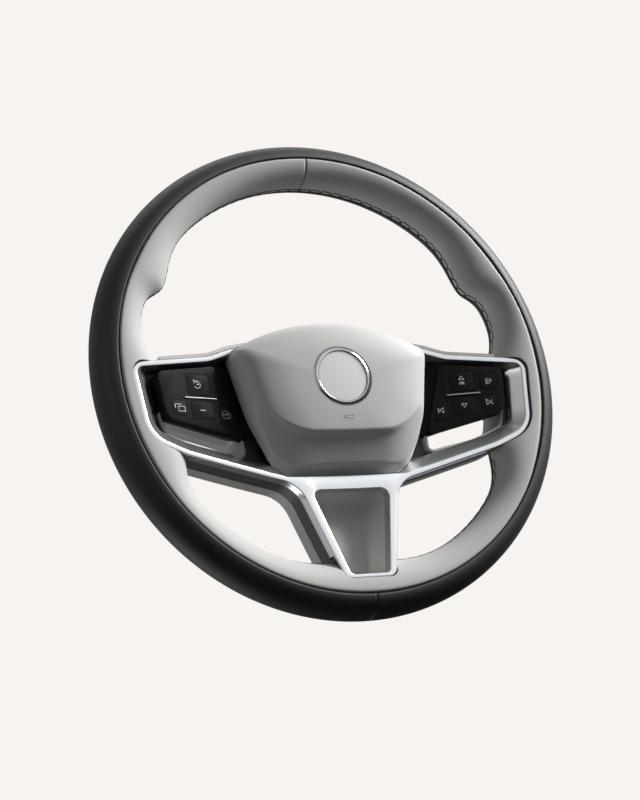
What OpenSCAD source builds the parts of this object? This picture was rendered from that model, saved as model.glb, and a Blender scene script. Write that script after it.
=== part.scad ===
// Car steering wheel with a two-tone leather rim, a looped spoke frame, two keypads and a horn pad.
// Every module draws in face coordinates: x to the right, y up the wheel, z along the steering
// axis towards the driver, with zero at the middle of the hub bore. upright() stands it up.

/* [Rim] */
// Radius from the steering axis to the middle of the rim section
rim_r = 170; // [165:1:178]
// Half width of the rim section on its outer side
rim_outer_half = 15; // [13:0.5:17]
// Half width of the rim section on its inner side
rim_inner_half = 19; // [16:0.5:21]
// Half depth of the rim section, front to back
rim_half_depth = 19; // [17:0.5:21]
// Distance from the hub bore to the middle plane of the rim, towards the driver
rim_out = 45; // [42:1:50]
// Thickness of both leathers
leather_t = 1.3; // [1:0.1:1.8]
// Width of the groove where the two leathers meet at the front
seam_w = 1.1; // [0.6:0.1:2]
// Height of the thumb swellings above the plain section
thumb_h = 9.5; // [0:0.5:12]
// Angle of the thumb swellings above the horizontal
thumb_angle = 29.5; // [24:0.5:34]
// Height of the leather pads at the side spokes
side_pad_h = 16; // [10:1:18]
// Height of the leather pad at the lower spoke
lower_pad_h = 9; // [5:1:12]

/* [Spoke frame] */
// Width of the bright band
band_w = 4.2; // [3.8:0.1:6]
// Thickness of the bright front lip
lip_t = 3; // [2:0.1:4]
// Width of the sloping bright wall inside each loop
slope_w = 9; // [6:0.5:10]
// Depth of the foot of the sloping bright wall
slope_h = 8.5; // [7:0.5:9]
// Thickness of the bright inner walls
skirt_t = 1.6; // [1.2:0.1:2]
// Depth of the dark shelf behind the bright front
shelf_h = 15; // [13:0.5:16]
// Depth of the dish at the steering axis, behind the rim's middle plane
dish_depth = 11.36; // [10:0.1:13]
// Rise of the dished front for each millimetre of radius
dish_slope = 0.17; // [0.12:0.01:0.2]
// Depth from the bright front to the back of the dark shroud
shroud_depth = 24.6; // [22:0.2:28]
// Depth from the bright front to the back of the rear cover
rear_depth = 38; // [36:0.5:42]
// Thickness of the inlay strips
inlay_t = 1; // [0.8:0.1:1.2]
// Depth from the bright front to the floor of the lower pocket
pocket_depth = 23; // [16:0.5:24]

/* [Horn pad] */
// Half width of the horn pad cover at its widest
pad_half_w = 80.5; // [78:0.5:81]
// Distance from the rim's middle plane to the front of the horn pad
pad_front = 21.7; // [18:0.1:26]
// Wall thickness of the horn pad cover
pad_wall = 2.8; // [2:0.1:3.4]
// Travel of the horn pad when the horn sounds
horn_travel = 2.5; // [1:0.1:3]
// Outer radius of the badge ring
badge_r = 22.8; // [20:0.1:25]
// Width of the badge ring
badge_ring_w = 3.1; // [2:0.1:5]

/* [Keypads] */
// Depth of the keypad housings
pod_depth = 21; // [18:0.5:22]
// Thickness of the keypad face
face_t = 2.2; // [1.8:0.1:2.6]
// Travel of each key
key_travel = 0.8; // [0.4:0.1:1]
// Gap round each key
key_gap = 0.25; // [0.2:0.05:0.4]

/* [Armature] */
// Radius of the splined hub bore
bore_r = 8.5; // [7:0.1:10]
// Length of the hub boss
hub_h = 28; // [22:1:32]
// Radius of the hub boss
hub_r = 19; // [16:0.5:24]
// Radius of the cast ring inside the rim
ring_r = 6; // [4:0.5:8]
// Thickness of the cast centre plate
plate_t = 6; // [5:0.5:8]
// Width of the cast side spokes
arm_w = 22; // [16:1:24]
// Width of the cast lower spoke
lower_arm_w = 22; // [14:1:26]
// Radius of the guide pins
pin_r = 3; // [2:0.1:4]

/* [Hidden] */
$fn = 64;

// Clearance between two pieces that are bonded or seated on each other
seat = 0.1;
// Clearance between the bezel and the leather round it
edge_gap = 0.4;
// A cut runs past a face by this much
over = 1;
// Angular stations of the rim and of its section
rim_steps = 72;
section_step = 15;

// Front surface of the dished spoke frame
dish_apex = rim_out - dish_depth;
function dish_z(r) = dish_apex + dish_slope * r;
// Wall of the dark shroud, outside the bright inner wall
shroud_inset = 0.4;
shroud_wall = band_w - skirt_t - seat - shroud_inset;
// Wall of the rear cover
rear_wall = 2.4;

module upright() {
    rotate([90, 0, 0]) children();
}

module both_sides() {
    children();
    mirror([1, 0, 0]) children();
}

// Outlines: corners are [x, y, radius], listed anticlockwise
function flat(p) = [p.x, p.y];
function unit(v) = v / norm(v);
function turned(v, a) = [v.x * cos(a) - v.y * sin(a), v.x * sin(a) + v.y * cos(a)];
function corner_arc(a, b, c, r, n) =
    let (
        u = unit(a - b),
        v = unit(c - b),
        half = acos(u * v) / 2,
        start = b + u * r / tan(half),
        finish = b + v * r / tan(half),
        centre = b + unit(u + v) * r / sin(half),
        side = sign(cross(start - centre, finish - centre))
    )
    [for (i = [0:n]) centre + turned(start - centre, side * (180 - 2 * half) * i / n)];
function rounded(corners, n = 5) =
    let (k = len(corners))
    [
        for (i = [0:k - 1])
            let (a = corners[(i + k - 1) % k], b = corners[i], c = corners[(i + 1) % k])
            each (b.z <= 0 ? [flat(b)] : corner_arc(flat(a), flat(b), flat(c), b.z, n))
    ];
// Both halves of a symmetric outline from its right half, listed upwards
function mirrored(right) =
    concat(right, [for (i = [len(right) - 1:-1:0]) [-right[i].x, right[i].y, right[i].z]]);
function left_normal(a, b) = let (u = unit(b - a)) [-u.y, u.x];
// The same outline moved inwards by d, or outwards where d is negative
function inset(corners, d) =
    let (k = len(corners))
    [
        for (i = [0:k - 1])
            let (
                a = flat(corners[(i + k - 1) % k]),
                b = flat(corners[i]),
                c = flat(corners[(i + 1) % k]),
                m = left_normal(a, b),
                n = left_normal(b, c),
                move = d * (m + n) / (1 + m * n),
                turn = sign(cross(b - a, c - b)),
                r = corners[i].z
            )
            [b.x + move.x, b.y + move.y, r == 0 ? 0 : max(r - turn * d, 0)]
    ];

// The spokes grow with the rim: their outer corners move out by this much
drawn_rim_r = 170;
reach = rim_r - drawn_rim_r;

// Outer outline of the spoke frame: leg, arm, outer end and top edge
frame_outline = mirrored([
    [20, -157.2 - reach, 7], [40.1, -83.7, 22], [126 + reach, -61.5, 60],
    [154.9 + reach, -49.5, 24], [161 + reach, 7.4, 10], [97, 15, 30], [80, 21.2, 30],
    [66, 24.5, 0]
]);
// The window inside the bright band follows the outline, with the bridge across the bottom
bridge_y = -77;
bridge_half = 48;
frame_inner = inset(frame_outline, band_w);
frame_window = mirrored([
    [bridge_half, bridge_y, 12], frame_inner[2], frame_inner[3], frame_inner[4],
    frame_inner[5], frame_inner[6], frame_inner[7]
]);
// Foot of the sloping wall: well inside the window at the bottom and the outer end, and just
// inside it along the top
slope_inner = inset(frame_outline, band_w + slope_w);
slope_foot = mirrored([
    [bridge_half - 2, bridge_y + slope_w, 10], slope_inner[2], slope_inner[3],
    [147.3 + reach, 3.2, 4], [97, 9.6, 30], [80, 15.6, 30], [66, 19, 0]
]);
// Trapezoid opening of the lower spoke
trapezoid = mirrored([[15.5, -154 - reach, 4], [31.5, -88, 6]]);
// Airbag module: centre and half sizes of its housing
module_y = -13;
module_half_w = 60;
module_half_h = 37;
module_corner = 10;
// Room behind the horn pad, for the airbag module
centre_hole = mirrored([[module_half_w + 0.8, -61, 8], [module_half_w + 0.8, 40, 0]]);
// Slit through the rear cover below each keypad, and the depth of its collar's front edge
rear_slit = [
    [76, -57.6, 3], [112, -51.2, 60], [134.5 + reach, -42.4, 9], [140 + reach, -23.5, 4],
    [125, -28.5, 0], [80, -41, 0], [76, -42.1, 2]
];
collar_front = slope_h + skirt_t + 0.5;

// Solid between two surfaces parallel to the dished front
module dish_layer(front, back) {
    edge = rim_r + 10;
    rotate_extrude($fn = 128)
        polygon([
            [0, dish_apex - back], [edge, dish_z(edge) - back], [edge, dish_z(edge) - front],
            [0, dish_apex - front]
        ]);
}

module prism(outline, low = -40, high = 90) {
    translate([0, 0, low]) linear_extrude(high - low) polygon(rounded(outline));
}

// Rim section: half width on the inner side at an angle round the wheel, measured from 3 o'clock
function bump(angle, centre, width) = exp(-pow((angle - centre) / width, 2));
function side_angle(a) =
    let (f = (a + 360) % 360, g = f > 180 ? f - 360 : f)
    g > 90 ? 180 - g : g < -90 ? -180 - g : g;
function thumb(s) = thumb_h * bump(s, thumb_angle, s > thumb_angle ? 10 : 4.5);
function side_pad(s) =
    side_pad_h * (s > 0 ? bump(s, 0, 10) : s < -22 ? bump(s, -22, 9) : 1);
function lower_pad(s) = lower_pad_h * bump(s, -90, 17);
function inner_half(a) =
    let (s = side_angle(a)) rim_inner_half + thumb(s) + side_pad(s) + lower_pad(s);

// A point on the rim section, depth below the leather's outer surface, at section angle f:
// 0 is outwards, 90 the front, 180 inwards
function rim_point(a, f, below) =
    let (
        half = (cos(f) > 0 ? rim_outer_half : inner_half(a)) - below,
        r = rim_r + half * cos(f),
        z = rim_out + (rim_half_depth - below) * sin(f)
    )
    [r * cos(a), r * sin(a), z];

// Closed ring swept round the wheel: loop holds [section angle, depth below the surface, and 1
// where the loop runs back along the inner side]
module rim_sweep(loop) {
    k = len(loop);
    points = [
        for (i = [0:rim_steps - 1])
            for (p = loop)
                rim_point(360 * i / rim_steps, p[0], p[1])
    ];
    faces = [
        for (i = [0:rim_steps - 1])
            for (j = [0:k - 1])
                let (
                    a = i * k + j,
                    b = i * k + (j + 1) % k,
                    c = ((i + 1) % rim_steps) * k + (j + 1) % k,
                    d = ((i + 1) % rim_steps) * k + j
                )
                each (loop[j][2] == 1 ? [[a, b, d], [b, c, d]] : [[a, b, c], [a, c, d]])
    ];
    polyhedron(points, faces, convexity = 10);
}

function section_angles(from, to) =
    concat(
        [from],
        [for (f = [ceil((from + 2) / section_step) * section_step:section_step:to - 2]) f],
        [to]
    );
function skin_loop(from, to) =
    let (angles = section_angles(from, to), n = len(angles))
    concat(
        [for (f = angles) [f, 0]],
        [for (i = [n - 1:-1:0]) [angles[i], leather_t, 1]]
    );

// Section angles of the front seam and of the stitched inner seam
front_seam = 91.7;
inner_seam = 175.5;
seam_angle = seam_w / rim_half_depth * 180 / PI / 2;
// Depth of the foam below the leather's outer surface
foam_below = leather_t + seat;

// Section angles of both leathers' edges
outer_from = inner_seam - 360;
outer_to = front_seam - seam_angle;
inner_from = front_seam + seam_angle;
inner_to = inner_seam - 0.4;

// The foam has its corners under those of the leathers
module rim_foam_body() {
    rim_sweep([
        for (f = concat(section_angles(outer_from, outer_to), section_angles(inner_from, inner_to)))
            [f, foam_below]
    ]);
}

// Space that the spoke frame takes out of the rim
module frame_space(gap) {
    intersection() {
        prism(inset(frame_outline, -gap));
        dish_layer(-30, rear_depth + gap);
    }
}

// Front and back of the cast centre plate
plate_high = 10;
plate_low = plate_high - plate_t;

// Cast side spoke, drawn with a clearance all round
side_arm_y = -11;
module side_arm(gap = 0) {
    width = arm_w + 2 * gap;
    translate([0, side_arm_y + width / 2, 0])
        rotate([90, 0, 0])
            linear_extrude(width)
                polygon([
                    [38, plate_low - gap], [58, plate_low - gap], [66, 10.2 - gap], [84, 13.2 - gap],
                    [137 + reach, 22.6 - gap], [158 + reach, 33 - gap],
                    [166 + reach + gap, 39 - gap], [166 + reach + gap, 46 + gap],
                    [160 + reach, 43 + gap], [156 + reach, 40 + gap], [150 + reach, 37 + gap],
                    [137 + reach, 30 + gap], [84, 19.6 + gap], [66, 16.4 + gap],
                    [56, plate_high + gap], [38, plate_high + gap]
                ]);
}

module lower_arm(gap = 0) {
    width = lower_arm_w + 2 * gap;
    rotate([0, 0, -90])
        translate([0, width / 2, 0])
            rotate([90, 0, 0])
                linear_extrude(width)
                    polygon([
                        [40, plate_low - gap], [49, plate_low - gap], [58, 9 - gap], [72, 11.2 - gap],
                        [100, 16.2 - gap], [146 + reach, 24 - gap], [160 + reach, 33 - gap],
                        [168 + reach + gap, 39 - gap], [168 + reach + gap, 47 + gap],
                        [164 + reach, 43 + gap], [157 + reach, 35 + gap],
                        [146 + reach, 30.8 + gap], [100, 22.5 + gap],
                        [72, 17.6 + gap], [58, 15.2 + gap], [48, plate_high + gap],
                        [40, plate_high + gap]
                    ]);
}

module arm_space(gap) {
    both_sides() side_arm(gap);
    lower_arm(gap);
}

lightening_x = 44;
lightening_r = 9;
pin_places = [[50, 15.5], [-50, 15.5], [-50, -40], [50, -40]];
bush_r = 6;
bush_flange_r = 8;
bush_flange_t = 2;
module_base = 26;
module_sheet = 2;
inflator_r = 30;
module_outline = [
    [module_half_w, module_y - module_half_h, module_corner],
    [module_half_w, module_y + module_half_h, module_corner],
    [-module_half_w, module_y + module_half_h, module_corner],
    [-module_half_w, module_y - module_half_h, module_corner]
];

// Rear cover screws, into bosses of the centre plate
cover_screw_places = [[30, 20], [-30, 20], [-30, -34], [30, -34]];
cover_screw_r = 2;
bowl_back = -12;
bowl_wall = 2.4;
bowl_back_r = 50;
deep_depth = 50;
hub_hole_r = hub_r + 7;

module rim_torus(r) {
    translate([0, 0, rim_out])
        rotate_extrude($fn = 96) translate([rim_r, 0]) circle(r, $fn = 24);
}

module rim_ring() {
    color("#8c8f92") upright() rim_torus(ring_r);
}

module armature() {
    groove_w = 0.8;
    color("#9a9c9e")
        upright()
            difference() {
                union() {
                    translate([0, 0, -hub_h / 2]) cylinder(h = hub_h, r = hub_r);
                    prism(inset(module_outline, 1), plate_low, plate_high);
                    both_sides() side_arm();
                    lower_arm();
                    both_sides()
                        on_pod()
                            for (p = pod_screw_places)
                                translate([p.x, p.y, -pod_depth - 6])
                                    cylinder(h = 6 - seat, r = 5, $fn = 32);
                }
                rim_torus(ring_r + 0.05);
                translate([0, 0, -hub_h / 2 - over]) cylinder(h = hub_h + 2 * over, r = bore_r);
                for (i = [0:11])
                    rotate([0, 0, 30 * i])
                        translate([0, -groove_w / 2, -hub_h / 2 - over])
                            cube([bore_r + 0.6, groove_w, hub_h + 2 * over]);
                for (p = pin_places)
                    translate([p.x, p.y, 0]) cylinder(h = 20, r = bush_r + seat);
                for (p = cover_screw_places)
                    translate([p.x, p.y, 0]) cylinder(h = 20, r = cover_screw_r + 0.05);
                for (s = [-1, 1])
                    translate([s * lightening_x, module_y, 0]) cylinder(h = 20, r = lightening_r);
                both_sides()
                    on_pod()
                        for (p = pod_screw_places)
                            translate([p.x, p.y, -pod_screw_seat - 20]) {
                                cylinder(h = 40, r = pod_screw_r + 0.15, $fn = 32);
                                cylinder(h = 20, r = 4.2, $fn = 32);
                            }
            }
}

module rim_foam() {
    color("#3b3b3d")
        upright()
            difference() {
                rim_foam_body();
                rim_torus(ring_r + seat);
                frame_space(edge_gap);
                arm_space(seat);
            }
}

module outer_leather() {
    color("#141516")
        upright()
            difference() {
                rim_sweep(skin_loop(outer_from, outer_to));
                frame_space(edge_gap);
                arm_space(seat);
            }
}

module inner_leather() {
    color("#bdbdb9")
        upright()
            difference() {
                rim_sweep(skin_loop(inner_from, inner_to));
                frame_space(edge_gap);
                arm_space(seat);
            }
}

// Depth of the bright inner wall of the trapezoid
trapezoid_skirt = 9;

module band_region() {
    difference() {
        prism(frame_outline);
        prism(frame_window);
        prism(trapezoid);
    }
}

// Room for the edge of the horn pad cover, also when the horn is pressed
module pad_space() {
    prism(inset(pad_outline, -0.6), pad_edge - horn_travel - 0.6, 90);
}

// Sloping bright wall: a closed ring between the window's edge and the foot inside it
module slope_wall() {
    top = rounded(frame_window);
    foot = rounded(slope_foot);
    back = rounded(inset(frame_window, -skirt_t));
    k = len(top);
    rings = [[top, lip_t - 1], [foot, slope_h], [foot, slope_h + skirt_t], [back, lip_t - 1]];
    points = [for (r = rings) for (p = r[0]) [p.x, p.y, dish_z(norm(p)) - r[1]]];
    faces = [
        for (i = [0:3])
            for (j = [0:k - 1])
                let (a = i * k, b = (i + 1) % 4 * k, n = (j + 1) % k)
                each [[a + j, b + j, b + n], [a + j, b + n, a + n]]
    ];
    polyhedron(points, faces, convexity = 8);
}

module spoke_bezel() {
    bridge_end = bridge_half + 4;
    color("#d9dbdc")
        upright()
            difference() {
                union() {
                    intersection() {
                        band_region();
                        dish_layer(0, lip_t);
                    }
                    difference() {
                        slope_wall();
                        translate([-bridge_end, bridge_y - 3, 0]) cube([2 * bridge_end, 120, 90]);
                        intersection() {
                            prism(inset(pad_outline, -0.6));
                            translate([-pad_half_w, 0, 0]) cube([2 * pad_half_w, 60, 90]);
                        }
                    }
                    intersection() {
                        band_region();
                        dish_layer(lip_t - 0.5, trapezoid_skirt);
                        prism(inset(frame_window, -skirt_t));
                        translate([-bridge_end, -90, 0]) cube([2 * bridge_end, 20, 90]);
                    }
                    intersection() {
                        band_region();
                        dish_layer(lip_t - 0.5, trapezoid_skirt);
                        prism(inset(trapezoid, -skirt_t));
                    }
                }
                pad_space();
                prism(centre_hole);
            }
}

// Part of the frame's outer edge that carries an inlay strip, on the right
inlay_region = [
    [18, -140 - reach], [131 + reach, -140 - reach], [131 + reach, -50], [18, -50]
];
inlay_back = 10;

module inlay(gap = 0) {
    intersection() {
        difference() {
            prism(inset(frame_outline, shroud_inset - gap));
            prism(inset(frame_outline, shroud_inset + inlay_t + gap));
        }
        dish_layer(lip_t + seat - gap, inlay_back + gap);
        translate([0, 0, -40]) linear_extrude(130) polygon(inlay_region);
    }
}

module right_inlay() {
    color("#eceeee") upright() inlay();
}

module left_inlay() {
    color("#eceeee") upright() mirror([1, 0, 0]) inlay();
}

module spoke_shroud() {
    shelf_t = 2.6;
    wall_front = lip_t + seat;
    color("#454340")
        upright()
            difference() {
                union() {
                    intersection() {
                        difference() {
                            prism(inset(frame_outline, shroud_inset));
                            prism(inset(frame_window, -skirt_t - seat));
                            prism(inset(trapezoid, -skirt_t - seat));
                        }
                        dish_layer(wall_front, shelf_h + shelf_t);
                    }
                    intersection() {
                        difference() {
                            prism(inset(frame_outline, shroud_inset));
                            both_sides() prism(inset(rear_slit, -rear_wall - 0.4));
                        }
                        dish_layer(shelf_h, shelf_h + shelf_t);
                    }
                    intersection() {
                        difference() {
                            prism(inset(frame_outline, shroud_inset));
                            prism(inset(frame_outline, shroud_inset + shroud_wall));
                        }
                        dish_layer(wall_front, shroud_depth);
                    }
                }
                prism(inset(trapezoid, -skirt_t - seat));
                prism(centre_hole);
                pad_space();
                both_sides() {
                    on_pod() pod_space(0.4);
                    inlay(0.05);
                }
                arm_space(seat + 0.3);
            }
}

// Bowl of the rear cover: from the horn pad's outline back round the centre plate to the hub
module cover_bowl(grow, back) {
    hull() {
        prism(inset(pad_outline, 1 - grow), bowl_front - 0.5, bowl_front);
        prism(inset(module_outline, -4 - grow), back + 11, back + 12);
        translate([0, -6, back]) cylinder(h = 1, r = bowl_back_r + grow);
    }
}

// Deeper back of the rear cover behind each keypad
module deep_back(shrink, front, back) {
    intersection() {
        prism(inset([[62, -45, 4], [124, -28, 6], [124, 1, 8], [62, 8, 6]], shrink));
        dish_layer(front - 1, back);
    }
}

// Space behind the front of the frame that the shroud takes
module shroud_space() {
    intersection() {
        prism(inset(frame_outline, shroud_inset));
        dish_layer(-40, shroud_depth + 2 * seat);
    }
}

module rear_cover() {
    color("#b5b1ad")
        upright()
            difference() {
                union() {
                    intersection() {
                        prism(inset(frame_outline, shroud_inset));
                        dish_layer(shroud_depth + 2 * seat, rear_depth);
                    }
                    intersection() {
                        both_sides() prism(inset(rear_slit, -rear_wall));
                        dish_layer(collar_front, rear_depth);
                    }
                    difference() {
                        union() {
                            cover_bowl(0, bowl_back);
                            both_sides() deep_back(0, rear_depth - rear_wall, deep_depth);
                        }
                        shroud_space();
                    }
                    top_wall();
                }
                intersection() {
                    difference() {
                        prism(inset(frame_outline, shroud_inset + rear_wall));
                        both_sides() prism(inset(rear_slit, -rear_wall));
                    }
                    dish_layer(shroud_depth - 10, rear_depth - rear_wall);
                }
                both_sides()
                    deep_back(rear_wall, rear_depth - rear_wall - 1, deep_depth - rear_wall);
                difference() {
                    cover_bowl(-bowl_wall, bowl_back + bowl_wall);
                    for (p = cover_screw_places)
                        translate([p.x, p.y, bowl_back])
                            cylinder(h = plate_low - seat - bowl_back, r = 4.5, $fn = 32);
                }
                for (p = cover_screw_places)
                    translate([p.x, p.y, bowl_back - over])
                        cylinder(h = 40, r = cover_screw_r + 0.05, $fn = 32);
                translate([0, 0, -50]) cylinder(h = 60, r = hub_hole_r);
                arm_space(0.5);
                both_sides()
                    on_pod() {
                        pod_space(0.6);
                        for (p = pod_screw_places)
                            translate([p.x, p.y, -60]) cylinder(h = 50, r = 4.8, $fn = 32);
                    }
                both_sides() prism(rear_slit);
            }
}

// Wall of the rear cover that shows along the top edge of the side spokes, with its foot
top_wall_t = 2.3;
top_wall_gap = 0.3;
top_wall_low = 6;
top_wall_reach = rim_r - rim_inner_half - side_pad_h + 2;
module top_strip(inner, front) {
    intersection() {
        difference() {
            prism(inset(frame_outline, -top_wall_t - top_wall_gap));
            prism(inset(frame_outline, inner));
            translate([-rim_r, -rim_r, -over]) cube([2 * rim_r, rim_r + top_wall_low, 90]);
            prism(inset(pad_outline, -0.6));
        }
        dish_layer(front, rear_depth);
        cylinder(h = 90, r = top_wall_reach);
    }
}

module top_wall() {
    top_strip(-top_wall_gap, 1);
    top_strip(shroud_inset + 1, rear_depth - rear_wall);
}

// The pocket narrows by this much from its mouth to its floor
pocket_draft = 7;
pocket_mouth = trapezoid_skirt + seat;
module pocket_taper(grow, floor_depth) {
    lead = 2;
    flare = pocket_draft * lead / (floor_depth - 1 - pocket_mouth);
    hull() {
        intersection() {
            prism(inset(trapezoid, -grow - flare));
            dish_layer(pocket_mouth - lead - 1, pocket_mouth - lead);
        }
        intersection() {
            prism(inset(trapezoid, pocket_draft - grow));
            dish_layer(floor_depth - 1, floor_depth);
        }
    }
}

module lower_pocket() {
    wall = skirt_t;
    color("#a9a8a4")
        upright()
            difference() {
                intersection() {
                    pocket_taper(wall, pocket_depth + wall);
                    dish_layer(pocket_mouth, pocket_depth + wall + over);
                }
                pocket_taper(0, pocket_depth);
            }
}

// Horn pad cover: outline at its edge, and a domed loft over it
pad_outline = mirrored([
    [52, -75.8, 22], [70, -33, 60], [pad_half_w, 17.2, 8], [41.8, 39.5, 145]
]);
pad_centre = [0, -12];
pad_edge = 40;
// The rear cover's bowl ends behind the edge of the pad, clear of it when the horn is pressed
bowl_front = pad_edge - horn_travel - 1;
pad_top = rim_out + pad_front;
pad_profile = [
    [1, 0], [1, 0.26], [0.985, 0.45], [0.95, 0.62], [0.88, 0.77], [0.78, 0.87], [0.6, 0.95],
    [0.4, 0.985], [0.2, 0.997]
];

module pad_loft(grow) {
    outline = rounded(inset(pad_outline, -grow), 6);
    k = len(outline);
    rings = len(pad_profile);
    rise = pad_top + grow - pad_edge;
    points = concat(
        [
            for (p = pad_profile)
                for (q = outline)
                    [
                        pad_centre.x + (q.x - pad_centre.x) * p[0],
                        pad_centre.y + (q.y - pad_centre.y) * p[0],
                        pad_edge + rise * p[1] + (p[1] == 0 && grow < 0 ? grow : 0)
                    ]
        ],
        [[pad_centre.x, pad_centre.y, pad_edge + rise]]
    );
    faces = concat(
        [[for (j = [0:k - 1]) j]],
        [
            for (i = [0:rings - 2])
                for (j = [0:k - 1])
                    let (a = i * k + j, b = i * k + (j + 1) % k)
                    each [[a, a + k, b + k], [a, b + k, b]]
        ],
        [
            for (j = [0:k - 1])
                let (a = (rings - 1) * k + j, b = (rings - 1) * k + (j + 1) % k)
                [a, rings * k, b]
        ]
    );
    polyhedron(points, faces, convexity = 4);
}

// Scoop along the lower edge of the horn pad: deep below its upper edge, shallow at its lower one
scoop_r = 8;
scoop_half = 42;
scoop_top = [-56.5, pad_top + 1.2];
scoop_low = [-72, pad_top - 1.6];
module scoop(grow) {
    hull()
        for (s = [-1, 1]) {
            translate([s * scoop_half, scoop_top[0], scoop_top[1]])
                sphere(scoop_r + grow, $fn = 32);
            translate([s * (scoop_half + 1), scoop_low[0], scoop_low[1]])
                sphere(scoop_r + grow, $fn = 32);
        }
}

badge_y = -7.1;
badge_floor = pad_top - 1.8;
badge_gap = 0.15;

module airbag_cover() {
    frame_t = 2;
    color("#b9b9b5")
        upright()
            difference() {
                union() {
                    difference() {
                        pad_loft(0);
                        difference() {
                            pad_loft(-pad_wall);
                            scoop(pad_wall);
                        }
                    }
                    intersection() {
                        difference() {
                            prism(inset(module_outline, -seat - 0.2 - frame_t), 34, pad_top);
                            prism(inset(module_outline, -seat - 0.2));
                        }
                        pad_loft(-0.5);
                    }
                }
                scoop(0);
                translate([0, badge_y, badge_floor]) cylinder(h = 20, r = badge_r + badge_gap);
            }
}

module badge_ring() {
    inner = badge_r - badge_ring_w;
    low = badge_floor + seat;
    color("#d4d6d7")
        upright()
            translate([0, badge_y, 0])
                rotate_extrude($fn = 96)
                    polygon([
                        [inner, low], [badge_r, low], [badge_r, low + 1.6],
                        [badge_r - 0.8, low + 2.3], [inner + 0.6, low + 2.3], [inner, low + 1.6]
                    ]);
}

module badge_disc() {
    color("#c6c8c8")
        upright()
            translate([0, badge_y, badge_floor + seat])
                cylinder(h = 1.3, r = badge_r - badge_ring_w - badge_gap, $fn = 96);
}

// Inflator: studs round its middle and half width of its square flange
inflator_studs = [[26, 26], [-26, 26], [-26, -26], [26, -26]];
inflator_flange_half = 31;
housing_h = 22;

module airbag_housing() {
    color("#6b6d70")
        upright()
            difference() {
                prism(module_outline, module_base, module_base + housing_h);
                prism(inset(module_outline, module_sheet), module_base + module_sheet, 90);
                translate([0, module_y, 0]) cylinder(h = 60, r = inflator_r + 0.3);
                for (p = inflator_studs)
                    translate([p.x, p.y + module_y, 0]) cylinder(h = 60, r = 2.3, $fn = 32);
                for (p = pin_places)
                    translate([p.x, p.y, 0]) cylinder(h = 60, r = pin_r + 0.05, $fn = 32);
            }
}
module airbag_cushion() {
    low = module_base + module_sheet + seat;
    color("#d8d4c8")
        upright()
            difference() {
                hull() {
                    prism(inset(module_outline, module_sheet + 0.5), low, low + 20);
                    prism(inset(module_outline, 12), low + 20, low + 28);
                }
                translate([0, module_y, 0]) cylinder(h = 45, r = inflator_r + 0.5);
                translate([-inflator_flange_half - 0.5, module_y - inflator_flange_half - 0.5, 0])
                    cube([2 * inflator_flange_half + 1, 2 * inflator_flange_half + 1, low + 3]);
                for (p = pin_places)
                    translate([p.x, p.y, 0]) cylinder(h = low + 4, r = 6, $fn = 32);
            }
}

module gas_inflator() {
    flange = module_base + module_sheet + seat;
    color("#8c8f92")
        upright()
            translate([0, module_y, 0])
                union() {
                    translate([0, 0, module_base - 6]) cylinder(h = 24, r = inflator_r);
                    intersection() {
                        translate([0, 0, flange]) cylinder(h = 2, r = inflator_r + 11);
                        translate([-inflator_flange_half, -inflator_flange_half, flange])
                            cube([2 * inflator_flange_half, 2 * inflator_flange_half, 2]);
                    }
                    for (p = inflator_studs)
                        translate([p.x, p.y, module_base - 7])
                            cylinder(h = flange - module_base + 8, r = 2.2, $fn = 32);
                }
}

module inflator_nuts() {
    color("#b0a070")
        upright()
            for (p = inflator_studs)
                translate([p.x, p.y + module_y, module_base - 5 - seat])
                    difference() {
                        cylinder(h = 5, r = 4.6, $fn = 6);
                        translate([0, 0, -over]) cylinder(h = 7, r = 2.25, $fn = 32);
                    }
}

module guide_pins() {
    head_low = module_base + module_sheet + seat;
    color("#c9c9c9")
        upright()
            for (p = pin_places)
                translate([p.x, p.y, 0]) {
                    translate([0, 0, 1]) cylinder(h = head_low + 2.5 - 1, r = pin_r, $fn = 32);
                    translate([0, 0, head_low]) cylinder(h = 2.5, r = 5, $fn = 32);
                }
}

module pin_bushes() {
    color("#e8e4da")
        upright()
            for (p = pin_places)
                translate([p.x, p.y, 0])
                    difference() {
                        union() {
                            translate([0, 0, plate_low]) cylinder(h = plate_t, r = bush_r);
                            translate([0, 0, plate_high])
                                cylinder(h = bush_flange_t, r = bush_flange_r);
                        }
                        cylinder(h = 20, r = pin_r + 0.06);
                    }
}

// Coil spring as a tube swept along a helix
module coil(r, wire, height, turns) {
    steps = 10;
    sides = 6;
    n = steps * turns;
    ring = [
        for (i = [0:n])
            let (a = 360 * i / steps, z = wire + (height - 2 * wire) * i / n)
            for (j = [0:sides - 1])
                let (b = 360 * j / sides)
                [(r + wire * cos(b)) * cos(a), (r + wire * cos(b)) * sin(a), z + wire * sin(b)]
    ];
    faces = concat(
        [[for (j = [0:sides - 1]) j]],
        [
            for (i = [0:n - 1])
                for (j = [0:sides - 1])
                    let (a = i * sides + j, b = i * sides + (j + 1) % sides)
                    each [[a, a + sides, b + sides], [a, b + sides, b]]
        ],
        [[for (j = [sides - 1:-1:0]) n * sides + j]]
    );
    polyhedron(ring, faces, convexity = 8);
}

module horn_springs() {
    low = plate_high + bush_flange_t + seat;
    color("#8f9294")
        upright()
            for (p = pin_places)
                translate([p.x, p.y, low]) coil(5, 0.7, module_base - seat - low, 3.5);
}

// Horn contacts between the plate and the airbag housing
contact_x = 38;
contact_y = 4;
contact_pad_t = 2.2;
contact_half = 4;

module contact_plates() {
    color("#c08a4a")
        upright()
            for (s = [-1, 1])
                translate([s * contact_x - contact_half, contact_y - contact_half, plate_high])
                    cube([2 * contact_half, 2 * contact_half, contact_pad_t]);
}

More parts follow.
